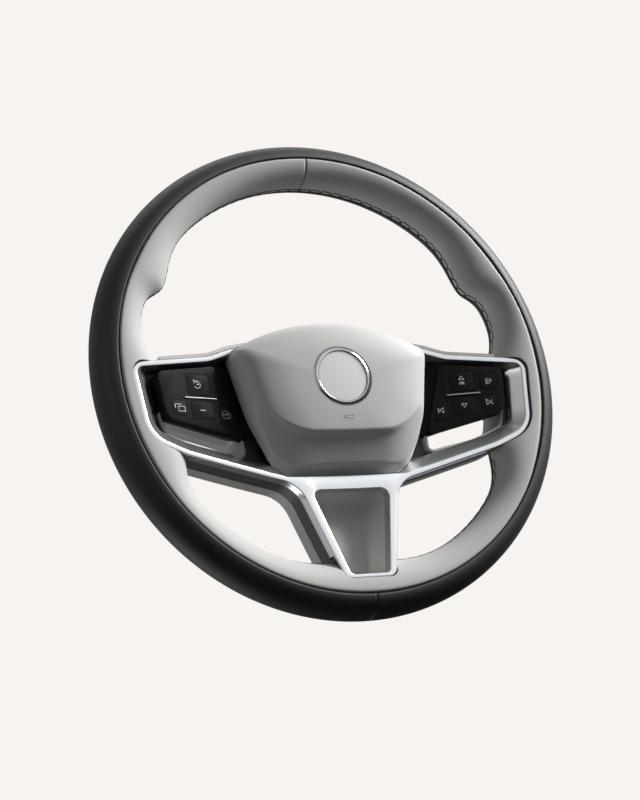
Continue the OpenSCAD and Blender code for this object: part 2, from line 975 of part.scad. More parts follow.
module contact_studs() {
    low = plate_high + contact_pad_t + horn_travel + 0.1;
    color("#c08a4a")
        upright()
            for (s = [-1, 1])
                translate([s * contact_x, contact_y, low])
                    cylinder(h = module_base - low, r = 3, $fn = 32);
}

module cover_screws() {
    head_t = 2.4;
    color("#7d7f82")
        upright()
            for (p = cover_screw_places)
                translate([p.x, p.y, 0]) {
                    translate([0, 0, bowl_back - head_t])
                        cylinder(h = head_t - seat, r = 4, $fn = 32);
                    translate([0, 0, bowl_back - head_t])
                        cylinder(h = plate_high - bowl_back, r = cover_screw_r, $fn = 32);
                }
}

module hub_connector() {
    color("#d8b23c")
        upright()
            translate([-11, -41, plate_high + seat])
                difference() {
                    cube([22, 9, 6.5]);
                    translate([2, 2, 2]) cube([18, 5, 9]);
                }
}

// Keypads: the face is a plane that rises outwards; x runs along it, z out of it
pod_origin = [94.2, 0, rim_out + 2.2];
pod_tilt = 12.1;
module on_pod() {
    translate(pod_origin) rotate([0, -pod_tilt, 0]) children();
}
function on_face(x) = (x - pod_origin.x) / cos(pod_tilt);
function face_points(corners) = [for (p = corners) [on_face(p.x), p.y, p.z]];
face_outline = face_points([
    [74.5, -46.5, 3], [136.6, -33.5, 9], [140.6, 1.7, 5], [92.5, 8.3, 3]
]);
shoulder_outline = face_points([
    [69.5, -47.2, 2], [136.6, -33.5, 9], [140.6, 1.7, 5], [84.5, 9.6, 2]
]);
back_outline = face_points([
    [74, -41.5, 3], [134, -27.5, 8], [137, 0, 5], [86, 7, 3]
]);
shoulder_drop = 3.4;
pod_wall = 1.8;
pod_screw_places = [[2, -8], [30, -14]];
pod_screw_r = 1.6;
// Depth below the face of the seats for the keypad screws, on the back of the side spokes
pod_screw_seat = pod_depth + 10;
board_front = -6;
board_t = 1.5;

module pod_slab(outline, low, high) {
    translate([0, 0, low]) linear_extrude(high - low) polygon(rounded(outline));
}

module pod_body(grow) {
    hull() {
        pod_slab(inset(shoulder_outline, -grow), -shoulder_drop - 4, -shoulder_drop + grow);
        pod_slab(inset(back_outline, -grow), -pod_depth - grow, -pod_depth + 1);
    }
}

// Whole keypad with a clearance, to cut its space out of what lies round it
module pod_space(gap) {
    pod_body(gap);
    pod_slab(inset(shoulder_outline, -gap), -shoulder_drop - 2, 1);
}

module keypad_housing() {
    difference() {
        union() {
            difference() {
                union() {
                    pod_body(0);
                    pod_slab(face_outline, -shoulder_drop - 2, -face_t - seat);
                }
                hull() {
                    pod_slab(inset(face_outline, pod_wall), -face_t - seat - 5, over);
                    pod_slab(
                        inset(back_outline, pod_wall),
                        -pod_depth + pod_wall, -pod_depth + pod_wall + 1
                    );
                }
            }
            for (p = pod_screw_places)
                translate([p.x, p.y, -pod_depth])
                    cylinder(h = pod_depth + board_front - board_t - seat, r = 4, $fn = 32);
        }
        for (p = pod_screw_places)
            translate([p.x, p.y, -pod_depth - over])
                cylinder(h = 12, r = pod_screw_r + 0.05, $fn = 32);
    }
}

// Keys: outlines in face coordinates
key_r = 2.2;
function key_box(x0, y0, x1, y1, r = key_r) =
    face_points([[x1, y0, r], [x1, y1, r], [x0, y1, r], [x0, y0, r]]);
up_key = key_box(98.5, -14.6, 117, 1);
down_key = key_box(97.5, -33, 116, -19.4);
inner_key = face_points([
    [93, -37, key_r], [93, -20, key_r], [86.5, -20, key_r], [80.5, -37, key_r]
]);
outer_key = face_points([
    [131, -30.6, 4], [132.5, -19.4, key_r], [120, -19.4, key_r], [120, -30.6, key_r]
]);
voice_key = face_points([
    [134, -14.6, key_r], [135.2, -3, 3], [121.5, -1.2, key_r], [121.5, -14.6, key_r]
]);
left_keys = [up_key, down_key, inner_key, outer_key];
right_keys = [up_key, down_key, inner_key, outer_key, voice_key];
key_flange = 0.8;
key_flange_t = 1;
key_proud = 0.15;

module key(outline) {
    color("#26282a") {
        pod_slab(outline, -face_t - 0.3, key_proud);
        pod_slab(inset(outline, -key_flange), -face_t - 0.2 - key_flange_t, -face_t - 0.2);
    }
}

module keypad_face(keys) {
    color("#1d1f20")
        difference() {
            pod_slab(face_outline, -face_t, 0);
            for (k = keys) pod_slab(inset(k, -key_gap), -face_t - over, over);
        }
}

module circuit_board(keys) {
    dome_top = -face_t - 0.2 - key_flange_t - key_travel - 0.1;
    color("#2e6b3f") {
        pod_slab(inset(face_outline, pod_wall + 0.3), board_front - board_t, board_front);
        for (k = keys)
            translate([
                (k[0].x + k[1].x + k[2].x + k[3].x) / 4, (k[0].y + k[1].y + k[2].y + k[3].y) / 4,
                board_front - 0.01
            ])
                cylinder(h = dome_top - board_front, r = 2.5, $fn = 32);
    }
}

// Satin strip between the upper and lower keys
module ridge() {
    color("#8a8d90")
        translate([on_face(94.2), -17.8, seat / 2]) cube([on_face(120.4) - on_face(94.2), 1.5, 0.8]);
}

module right_keypad_housing() {
    color("#2b2c2e") upright() on_pod() keypad_housing();
}

module left_keypad_housing() {
    color("#2b2c2e") upright() mirror([1, 0, 0]) on_pod() keypad_housing();
}

module right_keypad_face() {
    upright() on_pod() keypad_face(right_keys);
}

module left_keypad_face() {
    upright() mirror([1, 0, 0]) on_pod() keypad_face(left_keys);
}

module right_ridge() {
    upright() on_pod() ridge();
}

module left_ridge() {
    upright() mirror([1, 0, 0]) on_pod() ridge();
}

module right_circuit_board() {
    upright() on_pod() circuit_board(right_keys);
}

module left_circuit_board() {
    upright() mirror([1, 0, 0]) on_pod() circuit_board(left_keys);
}

module keypad_screws() {
    color("#7d7f82")
        upright()
            both_sides()
                on_pod()
                    for (p = pod_screw_places)
                        translate([p.x, p.y, 0]) {
                            translate([0, 0, -pod_screw_seat - seat - 2.4])
                                cylinder(h = 22, r = pod_screw_r, $fn = 32);
                            translate([0, 0, -pod_screw_seat - seat - 2.4])
                                cylinder(h = 2.4, r = 3.6, $fn = 32);
                        }
}

module right_key(outline) {
    upright() on_pod() key(outline);
}

module left_key(outline) {
    upright() mirror([1, 0, 0]) on_pod() key(outline);
}

armature();
rim_ring();
rim_foam();
outer_leather();
inner_leather();
spoke_bezel();
left_inlay();
right_inlay();
spoke_shroud();
rear_cover();
lower_pocket();
cover_screws();
hub_connector();
pin_bushes();
horn_springs();
contact_plates();
contact_studs();
guide_pins();
airbag_housing();
airbag_cushion();
gas_inflator();
inflator_nuts();
airbag_cover();
badge_ring();
badge_disc();
left_keypad_housing();
right_keypad_housing();
left_keypad_face();
right_keypad_face();
left_ridge();
right_ridge();
left_circuit_board();
right_circuit_board();
keypad_screws();
left_key(up_key);  // left_up_key
left_key(down_key);  // left_down_key
left_key(inner_key);  // left_inner_key
left_key(outer_key);  // left_outer_key
right_key(up_key);  // right_up_key
right_key(down_key);  // right_down_key
right_key(inner_key);  // right_inner_key
right_key(outer_key);  // right_outer_key
right_key(voice_key);  // right_voice_key
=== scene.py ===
import math

import bmesh
import bpy
from mathutils import Matrix, Vector
from mathutils.bvhtree import BVHTree


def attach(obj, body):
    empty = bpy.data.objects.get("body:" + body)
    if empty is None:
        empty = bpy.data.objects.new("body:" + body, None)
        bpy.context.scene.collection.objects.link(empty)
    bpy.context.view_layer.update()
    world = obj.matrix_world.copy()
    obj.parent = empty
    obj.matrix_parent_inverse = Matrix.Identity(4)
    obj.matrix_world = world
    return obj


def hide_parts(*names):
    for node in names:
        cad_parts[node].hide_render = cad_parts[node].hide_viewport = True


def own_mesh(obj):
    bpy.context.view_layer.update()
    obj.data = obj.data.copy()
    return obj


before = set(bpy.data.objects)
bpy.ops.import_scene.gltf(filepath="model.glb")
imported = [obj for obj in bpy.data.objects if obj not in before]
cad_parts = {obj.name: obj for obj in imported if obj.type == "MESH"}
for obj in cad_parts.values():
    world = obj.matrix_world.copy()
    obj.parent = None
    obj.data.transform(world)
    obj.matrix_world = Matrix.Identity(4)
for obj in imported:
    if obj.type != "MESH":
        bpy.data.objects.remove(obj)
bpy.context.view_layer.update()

# Outer leather: black, fine-grained cowhide cut as one strip and glued round the outside and the
# back of the moulded foam rim. Its ends are butted at 6 o'clock, its front edge is turned down
# into the groove that it shares with the grey leather.


def linear(code):
    channels = [int(code[i : i + 2], 16) / 255 for i in (1, 3, 5)]
    return [*(c / 12.92 if c <= 0.04045 else ((c + 0.055) / 1.055) ** 2.4 for c in channels), 1]


def add(tree, kind, inputs=None, **settings):
    made = tree.nodes.new(kind)
    for name, value in settings.items():
        setattr(made, name, value)
    for name, value in (inputs or {}).items():
        if isinstance(value, bpy.types.NodeSocket):
            tree.links.new(value, made.inputs[name])
        else:
            made.inputs[name].default_value = value
    return made


def surface(name, dark, light, rough, spread, grain_mm, relief_mm, cells=False, cloud_mm=60, **sockets):
    """Material with a fine relief of one real size, and broad clouds of tone and gloss."""
    made = bpy.data.materials.new(name)
    made.use_nodes = True
    tree = made.node_tree
    shader = tree.nodes["Principled BSDF"]
    place = add(tree, "ShaderNodeTexCoord").outputs["Object"]
    cloud = add(
        tree, "ShaderNodeTexNoise", {"Vector": place, "Scale": 1000 / cloud_mm, "Detail": 2.0}
    ).outputs["Fac"]
    if cells:
        fine = add(
            tree,
            "ShaderNodeTexVoronoi",
            {"Vector": place, "Scale": 1000 / grain_mm, "Randomness": 0.9},
            feature="SMOOTH_F1",
        ).outputs["Distance"]
    else:
        fine = add(
            tree, "ShaderNodeTexNoise", {"Vector": place, "Scale": 1000 / grain_mm, "Detail": 3.0}
        ).outputs["Fac"]
    tone = add(
        tree,
        "ShaderNodeMix",
        {0: cloud, 6: linear(dark), 7: linear(light)},
        data_type="RGBA",
    ).outputs[2]
    gloss = add(
        tree,
        "ShaderNodeMapRange",
        {"Value": fine, "From Min": 0.2, "From Max": 0.8, "To Min": rough - spread, "To Max": rough + spread},
    ).outputs["Result"]
    relief = add(
        tree, "ShaderNodeBump", {"Height": fine, "Distance": relief_mm / 1000, "Strength": 0.5}
    ).outputs["Normal"]
    tree.links.new(tone, shader.inputs["Base Color"])
    tree.links.new(gloss, shader.inputs["Roughness"])
    tree.links.new(relief, shader.inputs["Normal"])
    for socket, value in sockets.items():
        shader.inputs[socket.replace("_", " ")].default_value = value
    return made


def stand(bm):
    """Shapes are drawn in face millimetres, x right, y up, z to the driver, and stood up here."""
    upright = Matrix.Scale(0.001, 4) @ Matrix.Rotation(math.radians(90), 4, "X")
    bmesh.ops.transform(bm, matrix=upright, verts=bm.verts)


def piece(bm, name, body, finish, replaced=(), sharp=35, standing=False):
    bmesh.ops.recalc_face_normals(bm, faces=bm.faces)
    if not standing:
        stand(bm)
    mesh = bpy.data.meshes.new(name)
    bm.to_mesh(mesh)
    bm.free()
    made = bpy.data.objects.new(name, mesh)
    bpy.context.scene.collection.objects.link(made)
    mesh.materials.append(finish)
    mesh.shade_smooth()
    mesh.set_sharp_from_angle(angle=math.radians(sharp))
    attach(made, body)
    if replaced:
        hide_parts(*replaced)
    return made


def cut(made, tool, sharp=35):
    """Takes a closed shape, drawn in face millimetres, out of a finished piece."""
    stand(tool)
    mesh = bpy.data.meshes.new("tool")
    tool.to_mesh(mesh)
    tool.free()
    cutter = bpy.data.objects.new("tool", mesh)
    bpy.context.scene.collection.objects.link(cutter)
    change = made.modifiers.new("cut", "BOOLEAN")
    change.operation = "DIFFERENCE"
    change.solver = "EXACT"
    change.object = cutter
    bpy.context.view_layer.update()
    whole = made.evaluated_get(bpy.context.evaluated_depsgraph_get())
    result = bpy.data.meshes.new_from_object(whole)
    made.modifiers.remove(change)
    made.data = result
    bpy.data.objects.remove(cutter)
    result.set_sharp_from_angle(angle=math.radians(sharp))


def inset(corners, d):
    """The outline's corners [x, y, radius] moved inwards by d, or outwards where d is negative."""
    moved = []
    for i, (x, y, r) in enumerate(corners):
        here = Vector((x, y))
        back = (here - Vector(corners[i - 1][:2])).normalized()
        on = (Vector(corners[(i + 1) % len(corners)][:2]) - here).normalized()
        m, n = Vector((-back.y, back.x)), Vector((-on.y, on.x))
        go = d * (m + n) / (1 + m.dot(n))
        turn = math.copysign(1, back.cross(on))
        moved.append([x + go.x, y + go.y, 0 if r == 0 else max(r - turn * d, 0.05)])
    return moved


def mirrored(right):
    return right + [[-x, y, r] for x, y, r in reversed(right)]


def outline(corners, d=0, steps=10, side=12, like=None):
    """Points of an outline moved in by d, with arcs at its corners and points along its sides:
    as many as on the outline named as like, so that both can be joined point to point."""
    like = like or corners
    points = []
    shifted = inset(corners, d)
    arcs = []
    for i, (x, y, r) in enumerate(shifted):
        here = Vector((x, y))
        back = (Vector(shifted[i - 1][:2]) - here).normalized()
        on = (Vector(shifted[(i + 1) % len(shifted)][:2]) - here).normalized()
        if r <= 0:
            arcs.append([here])
            continue
        half = back.angle(on) / 2
        centre = here + (back + on).normalized() * r / math.sin(half)
        start = here + back * r / math.tan(half) - centre
        sweep = math.copysign(math.pi - 2 * half, start.cross(here + on * r / math.tan(half) - centre))
        arcs.append([centre + Matrix.Rotation(sweep * k / steps, 2) @ start for k in range(steps + 1)])
    for i, arc in enumerate(arcs):
        points += arc
        after = arcs[(i + 1) % len(arcs)][0]
        here, there = Vector(like[i][:2]), Vector(like[(i + 1) % len(like)][:2])
        count = max(1, round((there - here).length / side))
        points += [arc[-1].lerp(after, k / count) for k in range(1, count)]
    return points


def ring(bm, corners, z, d=0, steps=10, side=12):
    """Closed loop of edges along an outline."""
    verts = [bm.verts.new((p.x, p.y, z)) for p in outline(corners, d, steps, side)]
    return [bm.edges.new(pair) for pair in zip(verts, verts[1:] + verts[:1])]


def walls(bm, rings):
    for low, high in zip(rings, rings[1:]):
        bmesh.ops.bridge_loops(bm, edges=low + high)


def cap(bm, *rings):
    bmesh.ops.triangle_fill(
        bm, edges=[e for r in rings for e in r], use_beauty=True, normal=(0, 0, 1)
    )


def prism(corners, low, high, d=0):
    bm = bmesh.new()
    rings = [ring(bm, corners, low, d), ring(bm, corners, high, d)]
    walls(bm, rings)
    cap(bm, rings[0])
    cap(bm, rings[1])
    bmesh.ops.recalc_face_normals(bm, faces=bm.faces)
    return bm


rim_r = 170
rim_z = 45
outer_half, inner_half, half_deep = 15, 19, 19
leather_t = 1.3
front_seam, inner_seam = 91.7, 186
half_groove = 1.1
frame_outline = mirrored(
    [
        [20, -157.2, 7], [40.1, -83.7, 22], [126, -61.5, 60], [154.9, -49.5, 24], [161, 7.4, 10],
        [97, 15, 30], [80, 21.2, 30], [66, 24.5, 0],
    ]
)
edge_gap = 0.4


def bell(angle, centre, width):
    return math.exp(-(((angle - centre) / width) ** 2))


def swelling(angle):
    """Extra width of the rim's inner half: thumb rests, side spoke pads and lower spoke pad."""
    side = (angle + 180) % 360 - 180
    side = 180 - side if side > 90 else -180 - side if side < -90 else side
    thumb = 9.5 * bell(side, 29.5, 10 if side > 29.5 else 4.5)
    pad = 16 * (bell(side, 0, 10) if side > 0 else bell(side, -22, 9) if side < -22 else 1)
    return thumb + pad + 9 * bell(side, -90, 17)


def on_rim(angle, section, below):
    """Point of the rim: section angle 0 is outwards, 90 the front and 180 inwards."""
    c, s = math.cos(math.radians(section)), math.sin(math.radians(section))
    half = outer_half if c > 0 else inner_half + swelling(angle)
    r = rim_r + (half - below) * c
    turn = math.radians(angle)
    return Vector((r * math.cos(turn), r * math.sin(turn), rim_z + (half_deep - below) * s))


def leather(start, finish, seam_side):
    """Closed skin swept round the rim, with its edges turned down and a butt seam."""
    count = round((finish - start) / 3.5)
    skin = [(start, 1.0), (start + 0.6, 0.45), (start + 1.7, 0.15)]
    skin += [(start + 3 + (finish - start - 6) * k / count, 0) for k in range(count + 1)]
    skin += [(finish - 1.7, 0.15), (finish - 0.6, 0.45), (finish, 1.0)]
    back = round((finish - start) / 15)
    skin += [(finish + (start - finish) * k / back, leather_t) for k in range(back + 1)]
    bm = bmesh.new()
    at = bm.verts.layers.float.new("section")
    deep = bm.verts.layers.float.new("below")
    verts = []
    for section, below in skin:
        v = bm.verts.new(on_rim(0, section, below))
        v[at], v[deep] = section, below
        verts.append(v)
    for pair in zip(verts, verts[1:] + verts[:1]):
        bm.edges.new(pair)
    bmesh.ops.spin(
        bm,
        geom=bm.verts[:] + bm.edges[:],
        axis=(0, 0, 1),
        cent=(0, 0, 0),
        dvec=(0, 0, 0),
        angle=math.tau,
        steps=rim_steps,
        use_merge=True,
    )
    for v in bm.verts:
        v.co = on_rim(math.degrees(math.atan2(v.co.y, v.co.x)), v[at], v[deep])
    for x in (-1.3, -0.7, -0.3, 0, 0.3, 0.7, 1.3):
        middles = [(f, f.calc_center_median()) for f in bm.faces]
        near = [f for f, at_middle in middles if at_middle.y * seam_side > 0 and abs(at_middle.x) < 8]
        geom = list({v for f in near for v in f.verts}) + list({e for f in near for e in f.edges}) + near
        bmesh.ops.bisect_plane(bm, geom=geom, plane_co=(x, 0, 0), plane_no=(1, 0, 0), dist=0.001)
    for v in bm.verts:
        if v.co.y * seam_side > 0 and abs(v.co.x) < 1.25 and v[deep] < 0.9:
            groove = 0.95 * (1 - abs(v.co.x) / 1.3) ** 1.5
            v.co = on_rim(math.degrees(math.atan2(v.co.y, v.co.x)), v[at], v[deep] + groove)
    return bm


rim_steps = 480
# Black nappa leather, embossed with a fine pebble and lightly pigmented: a low, broad sheen.
# Its 0.7 mm pebble is drawn at 1.1 mm so that it still shows.
black_nappa = surface(
    "black nappa leather", "#101112", "#171819", 0.58, 0.05, 1.1, 0.06, cells=True, IOR=1.5
)
outer_leather = piece(
    leather(inner_seam - 360, front_seam - half_groove, -1),
    "outer_leather_skin", "wheel", black_nappa, ["outer_leather"], sharp=50,
)
cut(outer_leather, prism(frame_outline, -60, 140, -edge_gap), sharp=50)

# Inner leather: light grey leather strip round the front and the inside of the rim, thicker foam
# under it at the thumb rests and spoke roots. It is butted at 12 o'clock and laced to the black
# leather along the inside.

# Grey nappa leather with the same pebble: matte pigment coat, soft highlight.
grey_nappa = surface(
    "light grey nappa leather", "#B8B8B5", "#C1C1BE", 0.62, 0.05, 1.1, 0.05, cells=True, IOR=1.4
)
inner_leather = piece(
    leather(front_seam + half_groove, inner_seam - 0.4, 1),
    "inner_leather_skin", "wheel", grey_nappa, ["inner_leather"], sharp=50,
)
cut(inner_leather, prism(frame_outline, -60, 140, -edge_gap), sharp=50)

# Lacing: black bonded polyester thread, laced by hand between holes punched along both leather
# edges. Two threads meet at every hole, so they leave a chain of long hexagons round the inside.


def tubes(lines, radius, name, body, finish, sides=2):
    """Round threads along lines of points in face millimetres, as one mesh piece."""
    data = bpy.data.curves.new(name, "CURVE")
    data.dimensions = "3D"
    data.bevel_depth = radius
    data.bevel_resolution = sides
    data.use_fill_caps = True
    for line in lines:
        spline = data.splines.new("POLY")
        spline.points.add(len(line) - 1)
        for point, p in zip(spline.points, line):
            point.co = (*p, 1)
    holder = bpy.data.objects.new(name, data)
    bm = bmesh.new()
    bm.from_mesh(bpy.data.meshes.new_from_object(holder))
    bpy.data.objects.remove(holder)
    return piece(bm, name, body, finish, sharp=60)


def inside(x, y, points):
    hit = False
    for a, b in zip(points, points[1:] + points[:1]):
        if (a.y > y) != (b.y > y) and x < a.x + (y - a.y) * (b.x - a.x) / (b.y - a.y):
            hit = not hit
    return hit


stitch_pitch = 8.7
stitch_rise = 1.95
thread_r = 0.4
lace_r = rim_r - inner_half
stitch_count = round(math.tau * lace_r / stitch_pitch)
stitch_turn = 360 / stitch_count
stitch_shape = [
    (-0.5, 0), (-0.43, 0.45), (-0.33, 0.92), (-0.27, 1), (0, 1.04), (0.27, 1), (0.33, 0.92),
    (0.43, 0.45), (0.5, 0),
]
frame_edge = outline(frame_outline, -2.5)


def lace(angle, across):
    """Point beside the inner seam, on the grey leather: across is measured in millimetres from the
    middle of the chain towards the front."""
    per_degree = math.radians(1) * half_deep
    sunk = 0.4 if abs(across) < 0.3 else -0.12
    return on_rim(angle, inner_seam - (stitch_rise + 0.2 + across) / per_degree, sunk)


lines = []
for k in range(stitch_count):
    centre = 90 + 360 * (k + 0.5) / stitch_count
    here = on_rim(centre, inner_seam - 6, 0)
    if inside(here.x, here.y, frame_edge):
        continue
    for side in (1, -1):
        lines.append([lace(centre + stitch_turn * u, side * stitch_rise * w) for u, w in stitch_shape])
# Bonded polyester thread, twisted and waxed: dark with a slight gloss along the twist.
thread = surface("black bonded polyester thread", "#0B0B0C", "#151516", 0.45, 0.1, 0.4, 0.05)
tubes(lines, thread_r, "rim_lacing", "wheel", thread)

# Seam threads: a dark blind stitch in the bottom of each of the two butt seams of the rim leathers, one at
# 12 o'clock in the grey and one at 6 o'clock in the black. It is laid there as painted shade that darkens
# each groove.
seam_shade_lines = [
    [on_rim(90, front_seam + 2 + (inner_seam - front_seam - 4) * k / 30, 0.75) for k in range(31)],
    [on_rim(-90, front_seam - 2 - 180 * k / 50, 0.75) for k in range(51)],
]
# Dark thread in the groove bottoms: painted shade for the seams.
tubes(seam_shade_lines, 0.3, "rim_seam_shade_threads", "wheel", thread)

# Spoke bezel: one die-cast zinc frame, polished, plated in satin chrome. Its front band is 4 mm
# wide, its inner wall lines both loops and the lower pocket, and it clips to the dark shroud.

dish_slope = 0.17
dish_apex = rim_z - 11.36
band_w = 4.2
lip_t = 3
skirt_t = 1.6
slope_w, slope_h = 9, 8.5
pocket_skirt = 9
bridge_half = 48
frame_inner = inset(frame_outline, band_w)
frame_window = mirrored([[bridge_half, -77, 12]] + frame_inner[2:8])
slope_inner = inset(frame_outline, band_w + slope_w)
slope_foot = mirrored(
    [[bridge_half - 2, -68, 10]] + slope_inner[2:4]
    + [[147.3, 3.2, 4], [97, 9.6, 30], [80, 15.6, 30], [66, 19, 0]]
)
trapezoid = mirrored([[15.5, -154, 4], [31.5, -88, 6]])
pad_corners = mirrored([[52, -75.8, 22], [70, -33, 60], [80.5, 17.2, 8], [41.8, 39.5, 145]])
pad_edge = 40
pad_clearance = prism(pad_corners, pad_edge - 3.1, 140, -0.6)
module_hole = mirrored([[60.8, -61, 8], [60.8, 40, 0]])


def dish(bm):
    """Lifts a flat shape onto the dished front of the spoke frame."""
    for v in bm.verts:
        v.co.z += dish_apex + dish_slope * v.co.xy.length


def sloping(bm, share, depth):
    """Ring of edges on the sloping wall: share is 0 at the window's edge and 1 at the foot. Under
    the bridge the wall goes straight back instead."""
    top = outline(frame_window, 0, side=6)
    foot = outline(slope_foot, 0, side=6, like=frame_window)
    verts = []
    for a, b in zip(top, foot):
        straight = 1 if a.y > -60 else min(max((abs(a.x) - 44) / 8, 0), 1)
        p = a.lerp(b, share * straight)
        verts.append(bm.verts.new((p.x, p.y, -depth)))
    return [bm.edges.new(pair) for pair in zip(verts, verts[1:] + verts[:1])]


bm = bmesh.new()
soft_edge = [(0, -1.1), (0.18, -0.5), (0.5, -0.18), (1.1, 0)]
outer = [ring(bm, frame_outline, z, d, side=6) for d, z in [(0, -lip_t)] + soft_edge]
window = [ring(bm, frame_window, -lip_t, -skirt_t, side=6)]
window += [sloping(bm, 1, slope_h + skirt_t), sloping(bm, 1, slope_h + 0.6), sloping(bm, 0.97, slope_h)]
window += [sloping(bm, share, slope_h * share + 0.5) for share in (0.75, 0.5, 0.25, 0.08)]
window += [ring(bm, frame_window, z, -d, side=6) for d, z in ((0.3, -0.2), (0.8, 0))]
pocket = [
    ring(bm, trapezoid, -z, -d, side=6)
    for z, d in ((lip_t, skirt_t), (pocket_skirt, skirt_t), (pocket_skirt, 0))
]
pocket += [ring(bm, trapezoid, z * 0.7, -d * 0.7, side=6) for d, z in soft_edge]
for rings in (outer, window, pocket):
    walls(bm, rings)
cap(bm, outer[-1], window[-1], pocket[-1])
cap(bm, outer[0], window[0], pocket[0])
dish(bm)
# Satin chrome on zinc: bright neutral metal, its gloss softened by a very fine blasting.
satin_chrome = surface(
    "satin chrome plate", "#DADCDD", "#E4E6E6", 0.19, 0.02, 0.5, 0.004, Metallic=0.86
)
bezel = piece(bm, "spoke_bezel_plated", "wheel", satin_chrome, ["spoke_bezel"])
cut(bezel, pad_clearance)
cut(bezel, prism(module_hole, -60, 140))

# Inlay strips: thin bright anodised aluminium, bent along the lower edge of each arm and leg and
# glued into a rebate of the shroud.


# Anodised aluminium: pale, with a finer gloss than the chrome beside it.
anodised = surface("bright anodised aluminium", "#E4E6E6", "#EEF0F0", 0.24, 0.03, 0.6, 0.004, Metallic=0.9)
inlay_front, inlay_back, inlay_t = 3.7, 9.9, 1
for hand, side in (("left", -1), ("right", 1)):
    bm = bmesh.new()
    strands = []
    base = outline(frame_outline, 0.4, side=2)
    along = [k for k, p in enumerate(base) if 18 < p.x < 131 and -140 < p.y < -50]
    for d, depth in (
        (0.4, inlay_front + 0.3), (0.4, inlay_back - 0.3), (0.7, inlay_back),
        (0.4 + inlay_t, inlay_back), (0.4 + inlay_t, inlay_front), (0.7, inlay_front),
    ):
        edge = outline(frame_outline, d, side=2)
        strands.append([bm.verts.new((edge[k].x * side, edge[k].y, -depth)) for k in along])
    for one, two in zip(strands, strands[1:] + strands[:1]):
        for k in range(len(along) - 1):
            bm.faces.new((one[k], one[k + 1], two[k + 1], two[k]))
    for k in (0, -1):
        bm.faces.new([strand[k] for strand in strands])
    dish(bm)
    piece(bm, f"{hand}_inlay_strip", "wheel", anodised, [f"{hand}_inlay"])

# Spoke shroud: dark grey ABS moulding behind the bezel. Its wall shows round the spokes and its
# shelf inside the loops holds the keypads.


def copied(node, name, body, finish, sharp=30):
    """CAD node's own shape with merged corners, so that its curved faces shade smoothly."""
    bm = bmesh.new()
    bm.from_mesh(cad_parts[node].data)
    bmesh.ops.remove_doubles(bm, verts=bm.verts, dist=0.00001)
    bmesh.ops.dissolve_limit(bm, angle_limit=math.radians(0.5), verts=bm.verts, edges=bm.edges)
    return piece(bm, name, body, finish, [node], sharp, standing=True)


# Moulded ABS with a spark-eroded grain of 0.3 mm, drawn at 0.6 mm so that it shows.
dark_abs = surface("dark grey ABS", "#383634", "#403E3C", 0.5, 0.06, 0.6, 0.03)
copied("spoke_shroud", "spoke_shroud_moulding", "wheel", dark_abs)

# Rear cover: light grey ABS shell screwed to the hub plate from behind. Its edge shows behind
# the shroud, round the slits under the keypads and along the top of the side spokes.

# Moulded light grey ABS, same grain.
grey_abs = surface("light grey ABS", "#BAB8B4", "#C3C1BD", 0.5, 0.06, 0.6, 0.02)
copied("rear_cover", "rear_cover_moulding", "wheel", grey_abs)
collar_front = slope_h + skirt_t + 0.5
rear_slit = [
    [76, -57.6, 3], [112, -51.2, 60], [134.5, -42.4, 9], [140, -23.5, 4], [125, -28.5, 0],
    [80, -41, 0], [76, -42.1, 2],
]
# The moulded collar round each slit has a full round edge.
for hand, side in (("left", -1), ("right", 1)):
    bm = bmesh.new()
    edge = [
        (0.02, 1.5), (0.02, 0.9), (0.25, 0.35), (0.7, 0.06), (1.2, 0), (1.7, 0.06), (2.15, 0.35),
        (2.38, 0.9), (2.38, 1.5),
    ]
    rings = [ring(bm, rear_slit, 1.1 - collar_front - z, -d, side=3) for d, z in edge]
    walls(bm, rings)
    walls(bm, [rings[-1], rings[0]])
    dish(bm)
    if side < 0:
        bmesh.ops.scale(bm, vec=(-1, 1, 1), verts=bm.verts)
    piece(bm, f"{hand}_slit_edge", "wheel", grey_abs, sharp=60)

# Lower pocket: light grey ABS tray clipped behind the trapezoid of the bezel, with a drafted wall
# and a filleted floor.

bm = bmesh.new()
tray = [ring(bm, trapezoid, z, d, side=6) for d, z in ((-1.6, -9.1), (6.2, -24.6), (8, -24.6))]
bowl_section = [
    (-1.6, -9.1), (0, -9.1), (1.6, -12.2), (4.9, -19.4), (5.6, -21.2), (6.6, -22.4), (7.8, -22.9),
    (9.4, -23),
]
bowl = [ring(bm, trapezoid, z, d, side=6) for d, z in bowl_section]
walls(bm, tray)
walls(bm, bowl)
cap(bm, tray[-1])
cap(bm, bowl[-1])
bmesh.ops.remove_doubles(bm, verts=bm.verts, dist=0.001)
dish(bm)
piece(bm, "lower_pocket_tray", "wheel", grey_abs, ["lower_pocket"])

# Horn pad cover: light grey thermoplastic skin, moulded as a soft dome that tears open over the
# airbag. Its lower edge is scooped out in a rounded step, and its wall there leans back.

pad_centre = Vector((0, -12, 0))
pad_top = 66.7
pad_profile = [
    (1, 0), (1, 0.26), (0.985, 0.45), (0.95, 0.62), (0.88, 0.77), (0.78, 0.87), (0.6, 0.95),
    (0.4, 0.985), (0.2, 0.997), (0, 1),
]
pad_wall = 2.6
wall_slope = 1.9
chin_top = -47.6
chin_fall = [(0, 0.6), (1.4, -1.6), (3, -4.2), (5, -6.4), (8, -8), (18, -12.3), (60, -29)]
badge_y = -7.1
badge_r = 22.8
badge_floor = pad_top - 1.8


def through(points, steps):
    """Smooth curve through points, as a list with the given steps between each two."""
    ends = [points[0], *points, points[-1]]
    line = []
    for a, b, c, d in zip(ends, ends[1:], ends[2:], ends[3:]):
        for k in range(steps):
            t = k / steps
            line.append(
                tuple(
                    0.5 * (
                        2 * q + (r - p) * t + (2 * p - 5 * q + 4 * r - s) * t**2
                        + (3 * q - p - 3 * r + s) * t**3
                    )
                    for p, q, r, s in zip(a, b, c, d)
                )
            )
    return line + [points[-1]]


chin_floor = through(chin_fall, 6)


